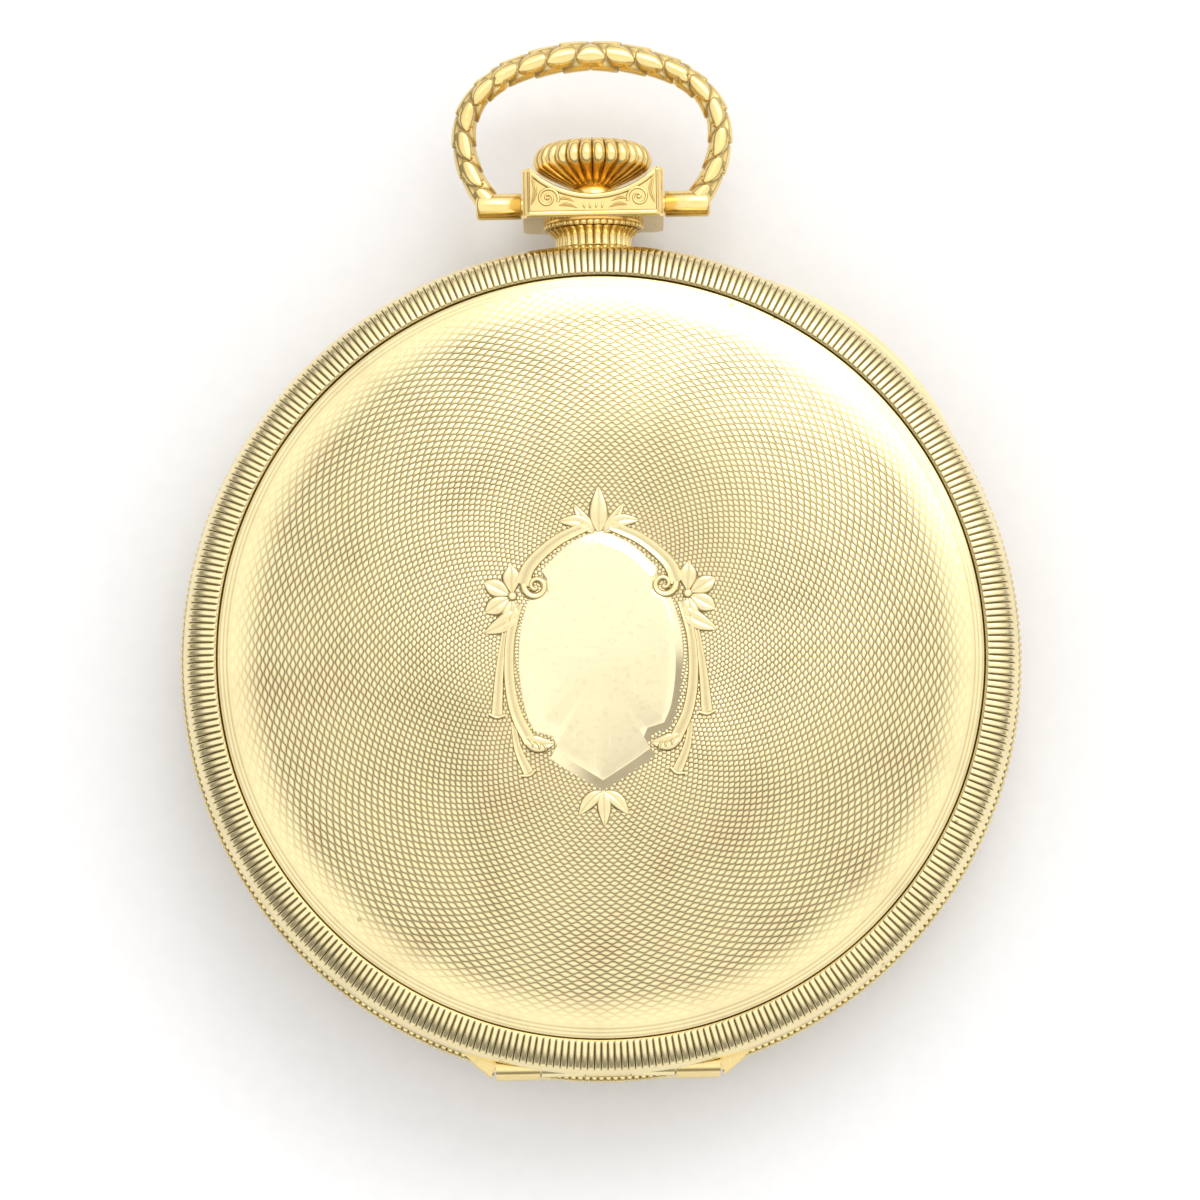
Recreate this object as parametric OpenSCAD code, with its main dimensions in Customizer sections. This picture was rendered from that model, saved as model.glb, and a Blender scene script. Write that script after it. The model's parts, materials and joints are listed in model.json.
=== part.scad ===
// Slim keyless hunter pocket watch as an assembly of its separate parts, in millimetres.
// It lies on its back lid: Z goes up to the front lid, Y from the hinges to the crown.
// The origin is the middle of the flat on the back lid.
// Inside the modules, heights are measured from the axis of the winding stem: see lift().

/* [Case] */
// Diameter over the milled ring round the case band
case_d = 46; // [45.8:0.05:46.2]
// Thickness over both lids
case_h = 11; // [10.8:0.1:11.8]
// Wall of the two lids
lid_wall = 0.4; // [0.3:0.05:0.45]
// Diameter of the crown
crown_d = 6.6; // [6:0.1:6.8]
// Flutes round the crown
crown_flutes = 26; // [18:1:28]
// Diameter of the bow's wire
bow_wire_d = 1.5; // [1.3:0.05:1.6]

/* [Dial] */
// Length of the hour hand from its centre
hour_hand_len = 8.4; // [7:0.1:8.8]
// Length of the minute hand from its centre
minute_hand_len = 12.6; // [11:0.1:12.8]
// Length of the seconds hand from its centre
second_hand_len = 3.8; // [3:0.1:4]

/* [Movement] */
// Turns of the hairspring
hair_turns = 9; // [6:1:10]
// Turns of the mainspring in the barrel
main_turns = 8; // [6:1:9]
// Timing screws in the rim of the balance wheel
timing_screws = 14; // [10:2:16]

/* [Hidden] */
$fn = 72;

// Case: radii from the middle, heights above or below the stem axis
lid_r = case_d / 2 - 0.05;
band_r = case_d / 2 - 0.4;
crease_r = lid_r - 1.8;
flat_r = 7;
lid_top = case_h / 2;
rim_z = lid_top - 2;
part_z = 1.5;
gap = 0.02;
hinge_y = 0.55 - lid_r;
knuckle_r = 0.6;
hinge_pin_r = 0.3;
hinge_clear_r = 0.75;
hinge_half_w = 6.15;
bead_h = 0.28;
seat_r = 19.85;

// Pendant, crown and bow
bow_axis_y = 25.6;
block = [7.8, 2.75, 6];
block_y = 24.5;
scoop_r = 4.85;
scoop_y = 30.65;
neck_r = 1.95;
stem_r = 0.5;
stem_hole_r = 0.62;
sleeve_r = 1.2;
sleeve_y = 23.2;

// Movement: heights of the plate and bridges, with the back of the watch at negative Z
plate_r = 19.8;
plate_back = -0.2;
plate_front = 1.5;
dial_seat = 1.95;
bridge_r = 19;
foot_r = 16.6;
bridge_back = -1.9;
bridge_front = -0.95;
bridge_tilt = 12;
wheel_floor = -1.4;
steel_z = [-1.85, -1.45];
jewel_r = 0.5;
jewel_hole_r = 0.13;
pivot_r = 0.1;
pocket_floor = 0.9;
lever_room = 2.35;

// Train: tooth counts, modules and centres, from the barrel to the balance
barrel_n = 84;
center_pinion_n = 12;
barrel_m = 0.19;
center_n = 80;
third_pinion_n = 10;
center_m = 0.17;
third_n = 75;
fourth_pinion_n = 10;
third_m = 0.1412;
fourth_n = 80;
escape_pinion_n = 8;
fourth_m = 0.115;
escape_teeth = 15;
escape_r = 3;

center_at = [0, 0];
barrel_at = on_circle(barrel_m * (barrel_n + center_pinion_n) / 2, 125);
fourth_at = [9.9, 0];
center_third = center_m * (center_n + third_pinion_n) / 2;
third_fourth = third_m * (third_n + fourth_pinion_n) / 2;
third_x = (pow(center_third, 2) - pow(third_fourth, 2) + pow(fourth_at[0], 2)) / (2 * fourth_at[0]);
third_at = [third_x, -sqrt(pow(center_third, 2) - pow(third_x, 2))];
escape_at = fourth_at + on_circle(fourth_m * (fourth_n + escape_pinion_n) / 2, -55);
balance_at = on_circle(13.4, -62);
lever_dir = bearing(escape_at, balance_at);
pallet_at = escape_at + on_circle(escape_r * 1.153, lever_dir);
roller_pin_r = 0.8;
cock_foot = [-3, -15.8];
pallet_foot = [15.2, -8.6];
balance_r = 5.45;

// Keyless work and winding wheels on the back of the barrel bridge
wind_m = 0.2;
winding_pinion_n = 16;
crown_wheel_n = 29;
ratchet_n = 59;
wind_gap = wind_m * (crown_wheel_n + ratchet_n) / 2;
crown_wheel_at = [0, barrel_at[1] + sqrt(pow(wind_gap, 2) - pow(barrel_at[0], 2))];
crown_wheel_turn = 90 + 180 / crown_wheel_n;
to_ratchet = bearing(crown_wheel_at, barrel_at);
ratchet_turn = to_ratchet + 180 - (crown_wheel_turn - to_ratchet) * crown_wheel_n / ratchet_n
    + 180 / ratchet_n;
pinion_y = [17.25, 18.1];
clutch_y = [14.7, 16.7];
slot_half_w = 1.95;
click_at = barrel_at + on_circle(7.9, 205);
click_tip = barrel_at + on_circle(6.14, 192);

// Motion work between the plate and the dial
motion_gap = 3.36;
cannon_n = 12;
minute_n = 36;
minute_pinion_n = 10;
hour_n = 40;
minute_wheel_dir = 60;
minute_wheel_at = on_circle(motion_gap, minute_wheel_dir);
cannon_r = 0.55;
hour_tube_r = 0.85;

screws_at = [on_circle(17.8, 60), on_circle(17.8, 165), on_circle(17.8, 197), on_circle(17.8, -10),
    cock_foot];
case_screws_at = [on_circle(18.75, 215), on_circle(18.75, -35)];
dial_feet_at = [on_circle(17.5, 40), on_circle(17.5, 160), on_circle(17.5, 280)];
set_jewels_at = [center_at, third_at, fourth_at, escape_at];
plate_jewels_at = [third_at, fourth_at, escape_at, pallet_at, balance_at];

// The hands show eight minutes past ten, with twelve o'clock towards -X
hour_dir = 180 - 30 * (10 + 8 / 60);
minute_dir = 180 - 6 * 8;

gold = "#d9bf7c";
rich_gold = "#dcb25e";
steel = "#b9bcc2";
blued = "#27386e";
nickel = "#d7d4c8";
brass = "#c9a24b";
ruby = "#b3274a";

function on_circle(r, a) = [r * cos(a), r * sin(a)];

function bearing(p, q) = atan2(q[1] - p[1], q[0] - p[0]);

// Outline of a spur gear with straight-flanked teeth, one of them on +X
function gear_outline(n, m, tip, root, slack) =
    let (r = m * n / 2, half = 90 / n - slack / 2 / r * 180 / PI)
    [for (i = [0 : n - 1], p = [
        [r - root * m, -1.35 * half],
        [r + tip * m, -0.55 * half],
        [r + tip * m, 0.55 * half],
        [r - root * m, 1.35 * half]
    ]) on_circle(p[0], i * 360 / n + p[1])];

// Outline of a flat coiled strip from r0 to r1; a power under 1 packs the outer coils closer
function spiral_outline(r0, r1, turns, thick, power) =
    let (steps = 20 * turns)
    [for (side = [-1, 1], i = [0 : steps])
        let (t = side < 0 ? i / steps : 1 - i / steps)
        on_circle(r0 + (r1 - r0) * pow(t, power) + side * thick / 2, 360 * turns * t)];

module lift() {
    translate([0, 0, case_h / 2])
        children();
}

module at(p, z = 0) {
    translate([p[0], p[1], z])
        children();
}

// A shape drawn along +Z from z = 0, laid along +Y instead
module along_y() {
    rotate([-90, 0, 0])
        children();
}

module along_x() {
    rotate([0, 90, 0])
        children();
}

module disc(r, z0, z1) {
    translate([0, 0, z0])
        cylinder(r = r, h = z1 - z0);
}

module ring(r0, r1, z0, z1) {
    difference() {
        disc(r1, z0, z1);
        disc(r0, z0 - 1, z1 + 1);
    }
}

// Part of a ring with a rectangular section, between two bearings
module ring_arc(r0, r1, z0, z1, a0, a1) {
    rotate([0, 0, a0])
        rotate_extrude(angle = a1 - a0)
            translate([r0, z0])
                square([r1 - r0, z1 - z0]);
}

// ---- Case ----

function dome_z(r) = lid_top - (r <= flat_r ? 0 : 2 * pow((r - flat_r) / (crease_r - flat_r), 2.2));

dome_rs = [for (i = [0 : 12]) flat_r + (crease_r - flat_r) * i / 12];

lid_profile = concat(
    [[0, lid_top]],
    [for (r = dome_rs) [r, dome_z(r)]],
    [[lid_r - 1.65, rim_z + 0.15], [lid_r - 1.05, rim_z], [lid_r - 0.6, rim_z - 0.23],
        [lid_r - 0.3, rim_z - 0.52], [lid_r - 0.1, rim_z - 0.85], [lid_r, rim_z - 1.2], [lid_r, part_z + gap],
        [lid_r - 1.5, part_z + gap], [lid_r - 1.5, part_z + 0.25], [lid_r - 0.55, part_z + 0.25],
        [lid_r - 0.6, rim_z - 1.2], [lid_r - 1.05, rim_z - 0.65], [lid_r - 1.6, rim_z - 0.42]],
    [for (i = [12 : -1 : 0]) [dome_rs[i], dome_z(dome_rs[i]) - lid_wall]],
    [[0, lid_top - lid_wall]]
);

band_outer = [[band_r, part_z], [band_r + 0.2, bead_h + 0.12], [case_d / 2, bead_h],
    [case_d / 2, -bead_h], [band_r + 0.2, -bead_h - 0.12], [band_r, -part_z]];

// A hinge tube between x0 and x1 on the hinge axis of the front lid, with its bore
module knuckle(x0, x1, bore_r) {
    translate([x0, hinge_y, part_z])
        along_x()
            difference() {
                cylinder(r = knuckle_r, h = x1 - x0);
                translate([0, 0, -1])
                    cylinder(r = bore_r, h = x1 - x0 + 2);
            }
}

// Metal that ties a knuckle to its own part, kept clear of the bore
module knuckle_web(x0, x1, y, z) {
    difference() {
        translate([x0, hinge_y + y[0], part_z + z[0]])
            cube([x1 - x0, y[1] - y[0], z[1] - z[0]]);
        translate([x0 - 1, hinge_y, part_z])
            along_x()
                cylinder(r = knuckle_r - 0.1, h = x1 - x0 + 2);
    }
}

module band_knuckle(x0, x1) {
    knuckle(x0, x1, hinge_pin_r);
    knuckle_web(x0, x1, [-0.45, 0.85], [-0.95, -0.05]);
}

module lid_knuckle(x0, x1) {
    knuckle(x0, x1, hinge_pin_r + 0.04);
    knuckle_web(x0, x1, [0.05, 0.95], [gap, 0.9]);
}

// The room round the hinge axis that the lid and the band both leave
module hinge_room() {
    translate([-hinge_half_w - 0.05, hinge_y, part_z])
        along_x()
            cylinder(r = hinge_clear_r, h = 2 * hinge_half_w + 0.1);
}

// A pointed end fairing that carries the hinge tube's line back into the band
module hinge_wing() {
    intersection() {
        translate([hinge_half_w, hinge_y + 0.04, part_z])
            rotate([0, 0, 28])
                along_x()
                    cylinder(r1 = knuckle_r, r2 = 0.08, h = 2.5);
        translate([hinge_half_w, hinge_y - 1, part_z - 1])
            cube([3, 3, 1]);
    }
}

// A front lid with its lifting lip at one bearing; the back lid is its mirror image
module lid(lip_dir, knuckles) {
    difference() {
        union() {
            rotate_extrude()
                polygon(lid_profile);
            lid_lip(lip_dir);
        }
        hinge_room();
    }
    for (k = knuckles)
        lid_knuckle(k[0], k[1]);
}

// A crescent on the lid's edge to lift it by, between 19 degrees either side of its middle
module lid_lip(dir) {
    difference() {
        at(on_circle(lid_r - 15.85, dir))
            disc(16.4, part_z + 0.1, part_z + 0.45);
        disc(lid_r - 0.4, 0, 5);
    }
}

module case_band() {
    color(gold) lift()
        difference() {
            union() {
                difference() {
                    rotate_extrude()
                        polygon(concat(band_outer, [[20, -part_z], [20, -0.7], [19.2, -0.7],
                            [19.2, plate_back], [seat_r, plate_back], [seat_r, part_z]]));
                    for (side = [0, 1])
                        mirror([0, 0, side])
                            hinge_room();
                }
                for (k = [[-hinge_half_w, -3.75], [-1.2, 1.2], [3.75, hinge_half_w]])
                    band_knuckle(k[0], k[1]);
                for (k = [[-hinge_half_w, -3.7], [3.7, hinge_half_w]])
                    mirror([0, 0, 1])
                        band_knuckle(k[0], k[1]);
                for (x = [0, 1], z = [0, 1])
                    mirror([x, 0, 0])
                        mirror([0, 0, z])
                            hinge_wing();
            }
            translate([0, 17, 0])
                along_y()
                    cylinder(r = stem_hole_r, h = 7);
            ring_arc(20.3, 21.8, -0.9, 2, 50, 100);
            ring_arc(20.3, 21.5, -0.9, 2, 198, 262);
            for (a = [55, 203])
                at(on_circle(20.95, a))
                    disc(0.3, -1.3, 0);
        }
}

module front_cover() {
    color(gold) lift()
        lid(48, [[-3.65, -1.3], [1.3, 3.65]]);
}

module back_cover() {
    color(gold) lift()
        difference() {
            mirror([0, 0, 1])
                lid(132, [[-3.6, -1.55], [1.55, 3.6]]);
            translate([-1.5, hinge_y - 0.8, -part_z - 0.4])
                cube([3, 2.3, 0.4]);
        }
}

module dust_cover() {
    out_r = 20.9;
    wall = 0.25;
    rs = [for (i = [0 : 6]) (out_r - wall) * i / 6];
    color(gold) lift() {
        rotate_extrude()
            polygon(concat(
                [for (r = rs) [r, -3 + 0.35 * pow(r / out_r, 2)]],
                [[out_r, -2.5], [out_r, -part_z - gap], [out_r - wall, -part_z - gap]],
                [for (i = [6 : -1 : 0]) [rs[i], -3 + wall + 0.35 * pow(rs[i] / out_r, 2)]]
            ));
        mirror([0, 0, 1])
            knuckle(-1.45, 1.45, hinge_pin_r + 0.04);
        difference() {
            translate([-1.4, hinge_y, -part_z - 0.3])
                cube([2.8, 1.65, 0.28]);
            translate([-2, hinge_y, -part_z])
                along_x()
                    cylinder(r = knuckle_r - 0.1, h = 4);
        }
    }
}

module bezel() {
    color(gold) lift()
        rotate_extrude()
            polygon([[19.6, part_z + gap], [20.45, part_z + gap], [20.45, 2.3], [19.7, 3.05],
                [18.9, 3.15], [18.56, 3.05], [18.56, 2.65], [18.3, 2.65], [18.3, 2.45], [19.6, 2.45]]);
}

module crystal() {
    rs = [for (i = [0 : 8]) 18.55 * i / 8];
    color("#dfe8ee", 0.35) lift()
        rotate_extrude()
            polygon(concat(
                [for (r = rs) [r, 3.85 - 0.85 * pow(r / 18.55, 2)]],
                [for (i = [8 : -1 : 0]) [rs[i], 3.5 - 0.85 * pow(rs[i] / 18.55, 2)]]
            ));
}

module hinge_pin(side) {
    translate([-hinge_half_w, hinge_y, side * part_z])
        along_x()
            cylinder(r = hinge_pin_r, h = 2 * hinge_half_w);
}

module front_hinge_pin() {
    color(gold) lift()
        hinge_pin(1);
}

module back_hinge_pin() {
    color(gold) lift()
        hinge_pin(-1);
}

// The lid catch: a spring blade in the band with a slotted head round the stem and a hooked nose
module lock_spring() {
    color(steel) lift()
        difference() {
            union() {
                ring_arc(20.8, 21.2, -0.5, 0.5, 55, 90);
                at(on_circle(20.95, 55))
                    disc(0.62, -0.55, 0.55);
                ring_arc(20.75, 21.3, -0.55, 1, 86, 94);
                ring_arc(21, 21.27, 0.5, 2, 87.6, 92.4);
                ring_arc(21.03, 21.65, 1.82, 2.05, 87.5, 92.5);
            }
            translate([-0.64, 20, -1])
                cube([1.28, 2, 1]);
            translate([0, 20, 0])
                along_y()
                    cylinder(r = 0.64, h = 2);
            at(on_circle(20.95, 55))
                disc(0.32, -1, 1);
        }
}

// The spring that throws the front lid open
module lift_spring() {
    color(steel) lift()
        difference() {
            union() {
                ring_arc(20.7, 21.1, -0.5, 0.5, 203, 258);
                ring_arc(20.73, 21.07, 0.3, 1.48, 252, 257.8);
                at(on_circle(20.95, 203))
                    disc(0.5, -0.55, 0.55);
            }
            at(on_circle(20.95, 203))
                disc(0.3, -1, 1);
        }
}

module slotted_screw(head_r, head_z, shank_r, shank_z) {
    difference() {
        union() {
            disc(head_r, head_z[0], head_z[1]);
            disc(shank_r, shank_z[0], shank_z[1]);
        }
        children();
    }
}

module spring_screws() {
    color(steel) lift()
        for (a = [55, 203])
            at(on_circle(20.95, a))
                slotted_screw(0.5, [0.55, 0.85], 0.3, [-1.3, 0.55])
                    translate([-1, -0.1, 0.72])
                        cube([2, 0.2, 1]);
}

// ---- Pendant, bow and crown ----

module pendant() {
    color(rich_gold) lift()
        difference() {
            union() {
                along_y()
                    rotate_extrude()
                        polygon([[0, 22], [1.4, 22], [1.4, lid_r + 0.08], [neck_r, lid_r + 0.15],
                            [neck_r, block_y - 0.7], [neck_r + 0.2, block_y - 0.45],
                            [neck_r + 0.75, block_y - 0.2], [neck_r + 0.75, block_y + 0.05],
                            [0, block_y + 0.05]]);
                intersection() {
                    translate([-block[0] / 2, block_y, -block[2] / 2])
                        cube(block);
                    translate([0, block_y, 0])
                        along_y()
                            cylinder(r = 4.6, h = block[1]);
                }
            }
            translate([0, scoop_y, -5])
                cylinder(r = scoop_r, h = 10);
            translate([0, 20, 0])
                along_y()
                    cylinder(r = stem_hole_r, h = 4);
            translate([0, sleeve_y, 0])
                along_y()
                    cylinder(r = sleeve_r, h = 4);
            for (side = [-1, 1])
                translate([side * 3.4, bow_axis_y, 0])
                    along_x()
                        cylinder(r = 0.55, h = 1.3, center = true);
            rotate_extrude()
                polygon(concat(band_outer, [[15, -part_z], [15, part_z]]));
        }
}

module pendant_sleeve() {
    color(steel) lift()
        translate([0, sleeve_y, 0])
            along_y()
                difference() {
                    cylinder(r = sleeve_r, h = 2.1);
                    translate([0, 0, -1])
                        cylinder(r = stem_hole_r, h = 5);
                }
}

// One arc of the bow's wire: radius r about a point, from bearing a0 to a1
module bow_arc(p, r, a0, a1, wire_r = bow_wire_d / 2) {
    at(p)
        rotate([0, 0, a0])
            rotate_extrude(angle = a1 - a0)
                translate([r, 0])
                    circle(r = wire_r);
}

// A short collar round the wire where two of its arcs meet
module bow_collar(p, dir, wire_r = bow_wire_d / 2) {
    at(p)
        rotate([0, 0, dir])
            along_x()
                cylinder(r = wire_r + 0.05, h = 0.6, center = true);
}

// An oval of tangent arcs, thickest at the top where a chain pulls, closed by its two pivots
module bow() {
    top_r = 11.9;
    top_wire_r = bow_wire_d / 2 + 0.13;
    side_r = 3.6;
    foot_arc_r = 5.6;
    top_half = 25.3;
    side_at = [0, 22] + on_circle(top_r - side_r, 90 - top_half);
    color(rich_gold) lift() {
        bow_arc([0, 22], top_r + 0.13, 90.4 - top_half, 89.6 + top_half, top_wire_r);
        for (side = [0, 1])
            mirror([side, 0, 0]) {
                bow_arc(side_at, side_r, 1, 89 - top_half);
                bow_arc(side_at - [foot_arc_r - side_r, 0], foot_arc_r, -40, -1);
                bow_collar(side_at + on_circle(side_r + 0.1, 90 - top_half), -top_half, top_wire_r);
                bow_collar(side_at + [side_r, 0], 90);
                translate([4, bow_axis_y, 0])
                    along_x()
                        cylinder(r = 0.8, h = 2.5);
                translate([2.9, bow_axis_y, 0])
                    along_x()
                        cylinder(r = 0.5, h = 1.2);
            }
    }
}

module crown() {
    r = crown_d / 2;
    color(rich_gold) lift()
        difference() {
            along_y()
                rotate_extrude()
                    polygon([[0, 29.15], [0.5, 29.15], [1.5, 29.1], [r - 0.8, 28.97], [r - 0.3, 28.73],
                        [r - 0.05, 28.35], [r, 27.9], [r - 0.15, 27.55], [r - 0.7, 27.15],
                        [r - 1.3, 26.85], [1.25, 26.5], [1.1, 26.4], [1.1, 25.9], [0, 25.9]]);
            translate([0, 25, 0])
                along_y()
                    cylinder(r = stem_r, h = 2.2);
            for (i = [1 : crown_flutes])
                rotate([0, i * 360 / crown_flutes, 0])
                    translate([r + 0.1, 26.85, 0])
                        along_y()
                            cylinder(r = 0.28, h = 3);
        }
}

module winding_stem() {
    color(steel) lift()
        translate([0, 14.8, 0])
            along_y()
                cylinder(r = stem_r, h = 12.4);
}

// ---- Winding ----

module gear(n, m, z0, z1, turn, tip = 0.9, root = 1.15, slack = 0.04) {
    rotate([0, 0, turn])
        translate([0, 0, z0])
            linear_extrude(z1 - z0)
                polygon(gear_outline(n, m, tip, root, slack));
}

// A small gear with short leaves, for a wheel's deep root
module pinion(n, m, z0, z1, turn) {
    gear(n, m, z0, z1, turn, 0.75, 1.25, 0.05);
}

module winding_pinion() {
    color(steel) lift()
        translate([0, pinion_y[0], 0])
            along_y()
                difference() {
                    union() {
                        gear(winding_pinion_n, wind_m, 0, pinion_y[1] - pinion_y[0], 90, 0.75, 1.2, 0.1);
                        disc(0.85, -0.18, 0.1);
                    }
                    disc(stem_r + 0.03, -1, 3);
                }
}

module clutch_wheel() {
    color(steel) lift()
        translate([0, clutch_y[0], 0])
            along_y()
                difference() {
                    ring(stem_r + 0.03, 0.85, 0, clutch_y[1] - clutch_y[0]);
                    ring(0.68, 1.5, 0.5, 0.9);
                }
}

module crown_wheel() {
    color(steel) lift()
        at(crown_wheel_at)
            difference() {
                gear(crown_wheel_n, wind_m, steel_z[0], steel_z[1], crown_wheel_turn, 0.8, 1.2, 0.1);
                disc(1, -3, 0);
            }
}

module crown_wheel_screw() {
    color(steel) lift()
        at(crown_wheel_at)
            slotted_screw(1.5, [-2.06, -1.87], 0.96, [-1.87, wheel_floor])
                translate([-2, -0.15, -2.2])
                    cube([4, 0.3, 0.24]);
}

module ratchet_wheel() {
    color(steel) lift()
        at(barrel_at)
            difference() {
                gear(ratchet_n, wind_m, steel_z[0], steel_z[1], ratchet_turn, 0.8, 1.2, 0.1);
                disc(0.45, -3, 0);
            }
}

module ratchet_screw() {
    color(steel) lift()
        at(barrel_at)
            slotted_screw(1.5, [-2.06, steel_z[0]], 0.25, [steel_z[0], -1.1])
                translate([-2, -0.15, -2.2])
                    cube([4, 0.3, 0.24]);
}

module click() {
    dir = bearing(click_at, click_tip);
    reach = norm(click_tip - click_at);
    color(steel) lift()
        at(click_at)
            difference() {
                union() {
                    disc(0.85, steel_z[0], steel_z[1]);
                    rotate([0, 0, dir])
                        translate([0, 0, steel_z[0]])
                            linear_extrude(steel_z[1] - steel_z[0])
                                polygon([[0.2, -0.8], [reach, 0], [0.2, 0.8]]);
                }
                disc(0.32, -3, 0);
            }
}

module click_spring() {
    color(steel) lift()
        at(click_at) {
            ring_arc(1.5, 1.65, -1.8, -1.45, 120, 290);
            at(on_circle(1.6, 290))
                disc(0.28, -1.8, wheel_floor);
        }
}

module barrel_drum() {
    color(brass) lift()
        at(barrel_at)
            difference() {
                union() {
                    gear(barrel_n, barrel_m, 0.5, 0.9, bearing(barrel_at, center_at));
                    disc(7.4, -0.27, 0.95);
                }
                disc(7, -1, 0.75);
                disc(0.54, -1, 2);
            }
}

module barrel_lid() {
    color(brass) lift()
        at(barrel_at)
            ring(0.74, 7.4, -0.45, -0.27);
}

module barrel_arbor() {
    color(steel) lift()
        at(barrel_at)
            difference() {
                union() {
                    disc(0.8, -0.22, 0.72);
                    disc(0.7, wheel_floor, -0.22);
                    disc(0.45, steel_z[0], wheel_floor);
                    disc(0.5, 0.72, 1.35);
                }
                disc(0.25, -2, -1.1);
            }
}

module mainspring() {
    color("#6f7f9c") lift()
        at(barrel_at)
            translate([0, 0, -0.15])
                linear_extrude(0.8)
                    polygon(spiral_outline(0.92, 6.88, main_turns, 0.14, 0.6));
}

// ---- Going train ----

// The openings between a wheel's spokes
module windows(r0, r1, spokes, spoke_w, z0, z1) {
    translate([0, 0, z0])
        linear_extrude(z1 - z0)
            difference() {
                circle(r = r1);
                circle(r = r0);
                for (i = [1 : spokes])
                    rotate(i * 360 / spokes)
                        translate([0, -spoke_w / 2])
                            square([r1 + 1, spoke_w]);
            }
}

module train_wheel(n, m, z, turn) {
    rim = m * n / 2 - 4 * m;
    difference() {
        gear(n, m, z[0], z[1], turn);
        windows(1.3, rim, 5, 0.45, z[0] - 1, z[1] + 1);
    }
}

// A shaft with a thin pivot at each end
module arbor(r, z0, z1, pivot_z0 = -1.5, pivot_z1 = 1.28) {
    disc(r, z0, z1);
    disc(pivot_r, pivot_z0, z0);
    disc(pivot_r, z1, pivot_z1);
}

module center_wheel() {
    color(brass) lift() {
        train_wheel(center_n, center_m, [-0.8, -0.55], bearing(center_at, third_at));
        pinion(center_pinion_n, barrel_m, -0.1, 0.9, bearing(center_at, barrel_at) + 180 / center_pinion_n);
        disc(0.5, -0.9, -0.1);
        disc(pivot_r, -1.5, -0.9);
        disc(0.3, 0.9, 3);
    }
}

module third_wheel() {
    color(brass) lift()
        at(third_at) {
            train_wheel(third_n, third_m, [-0.35, -0.1], bearing(third_at, fourth_at));
            pinion(third_pinion_n, center_m, -0.85, -0.5,
                bearing(third_at, center_at) + 180 / third_pinion_n);
            arbor(0.3, -0.9, pocket_floor - 0.05);
        }
}

// The fourth wheel turns once a minute, and its long pivot carries the seconds hand
module fourth_wheel() {
    color(brass) lift()
        at(fourth_at) {
            train_wheel(fourth_n, fourth_m, [0.15, 0.4], bearing(fourth_at, escape_at));
            pinion(fourth_pinion_n, third_m, -0.4, -0.05,
                bearing(fourth_at, third_at) + 180 / fourth_pinion_n);
            arbor(0.25, -0.9, pocket_floor - 0.05, -1.5, 2.6);
        }
}

module escape_wheel() {
    outline = [for (i = [0 : escape_teeth - 1], p = [[2.25, 0], [escape_r, 5], [escape_r, 8], [2.25, 7]])
        on_circle(p[0], i * 360 / escape_teeth + p[1])];
    color(steel) lift()
        at(escape_at) {
            difference() {
                translate([0, 0, 0.6])
                    linear_extrude(0.2)
                        polygon(outline);
                windows(0.7, 1.8, 4, 0.3, 0, 1);
            }
            pinion(escape_pinion_n, fourth_m, 0.1, 0.45,
                bearing(escape_at, fourth_at) + 180 / escape_pinion_n);
            arbor(0.2, -0.9, pocket_floor - 0.05);
        }
}

// The lever's frame: its pivot at the origin, the balance along +X, the escape wheel along -X
module at_lever() {
    at(pallet_at)
        rotate([0, 0, lever_dir])
            children();
}

lever_len = norm(balance_at - pallet_at) - roller_pin_r;
escape_gap = norm(escape_at - pallet_at);

// Slots for the two pallet stones, on the escape wheel's radii at 30 degrees either side
module stone_shapes() {
    for (side = [-1, 1])
        translate([-escape_gap, 0, 0])
            rotate([0, 0, side * 30])
                translate([escape_r + 0.05, -0.14, 0])
                    children();
}

module pallet_fork() {
    head = 0.5;
    color(steel) lift()
        at_lever() {
            difference() {
                translate([0, 0, 0.6])
                    linear_extrude(0.2)
                        difference() {
                            union() {
                                circle(r = 0.45);
                                polygon([[0, -0.22], [lever_len - head, -0.15], [lever_len + 0.15, -0.42],
                                    [lever_len + 0.15, 0.42], [lever_len - head, 0.15], [0, 0.22]]);
                                for (side = [-1, 1])
                                    rotate(180 - side * 78)
                                        translate([0, -0.28])
                                            square([1.95, 0.56]);
                            }
                            translate([lever_len - 0.15, -0.14])
                                square([1, 0.28]);
                        }
                stone_shapes()
                    cube([0.4, 0.28, 2]);
            }
            arbor(0.18, 0.26, pocket_floor - 0.05, 0, 1.28);
        }
}

module pallet_stones() {
    color(ruby) lift()
        at_lever()
            stone_shapes()
                translate([0, 0, 0.58])
                    cube([0.4, 0.28, 0.24]);
}

// ---- Motion work and hands ----

module cannon_pinion() {
    color(steel) lift()
        difference() {
            union() {
                pinion(cannon_n, 2 * motion_gap / (cannon_n + minute_n), 1.55, 1.71, minute_wheel_dir);
                disc(cannon_r, 1.6, 3.05);
            }
            disc(0.3, 0, 3);
        }
}

module minute_wheel() {
    color(brass) lift()
        at(minute_wheel_at)
            difference() {
                union() {
                    gear(minute_n, 2 * motion_gap / (cannon_n + minute_n), 1.56, 1.7,
                        minute_wheel_dir + 180 + 180 / minute_n);
                    pinion(minute_pinion_n, 2 * motion_gap / (minute_pinion_n + hour_n), 1.7, 1.88,
                        minute_wheel_dir + 180);
                }
                disc(0.33, 0, 3);
            }
}

module hour_wheel() {
    color(brass) lift()
        difference() {
            union() {
                gear(hour_n, 2 * motion_gap / (minute_pinion_n + hour_n), 1.74, 1.87,
                    minute_wheel_dir + 180 / hour_n);
                disc(hour_tube_r, 1.74, 2.72);
            }
            disc(cannon_r + 0.04, 0, 4);
        }
}

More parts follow.
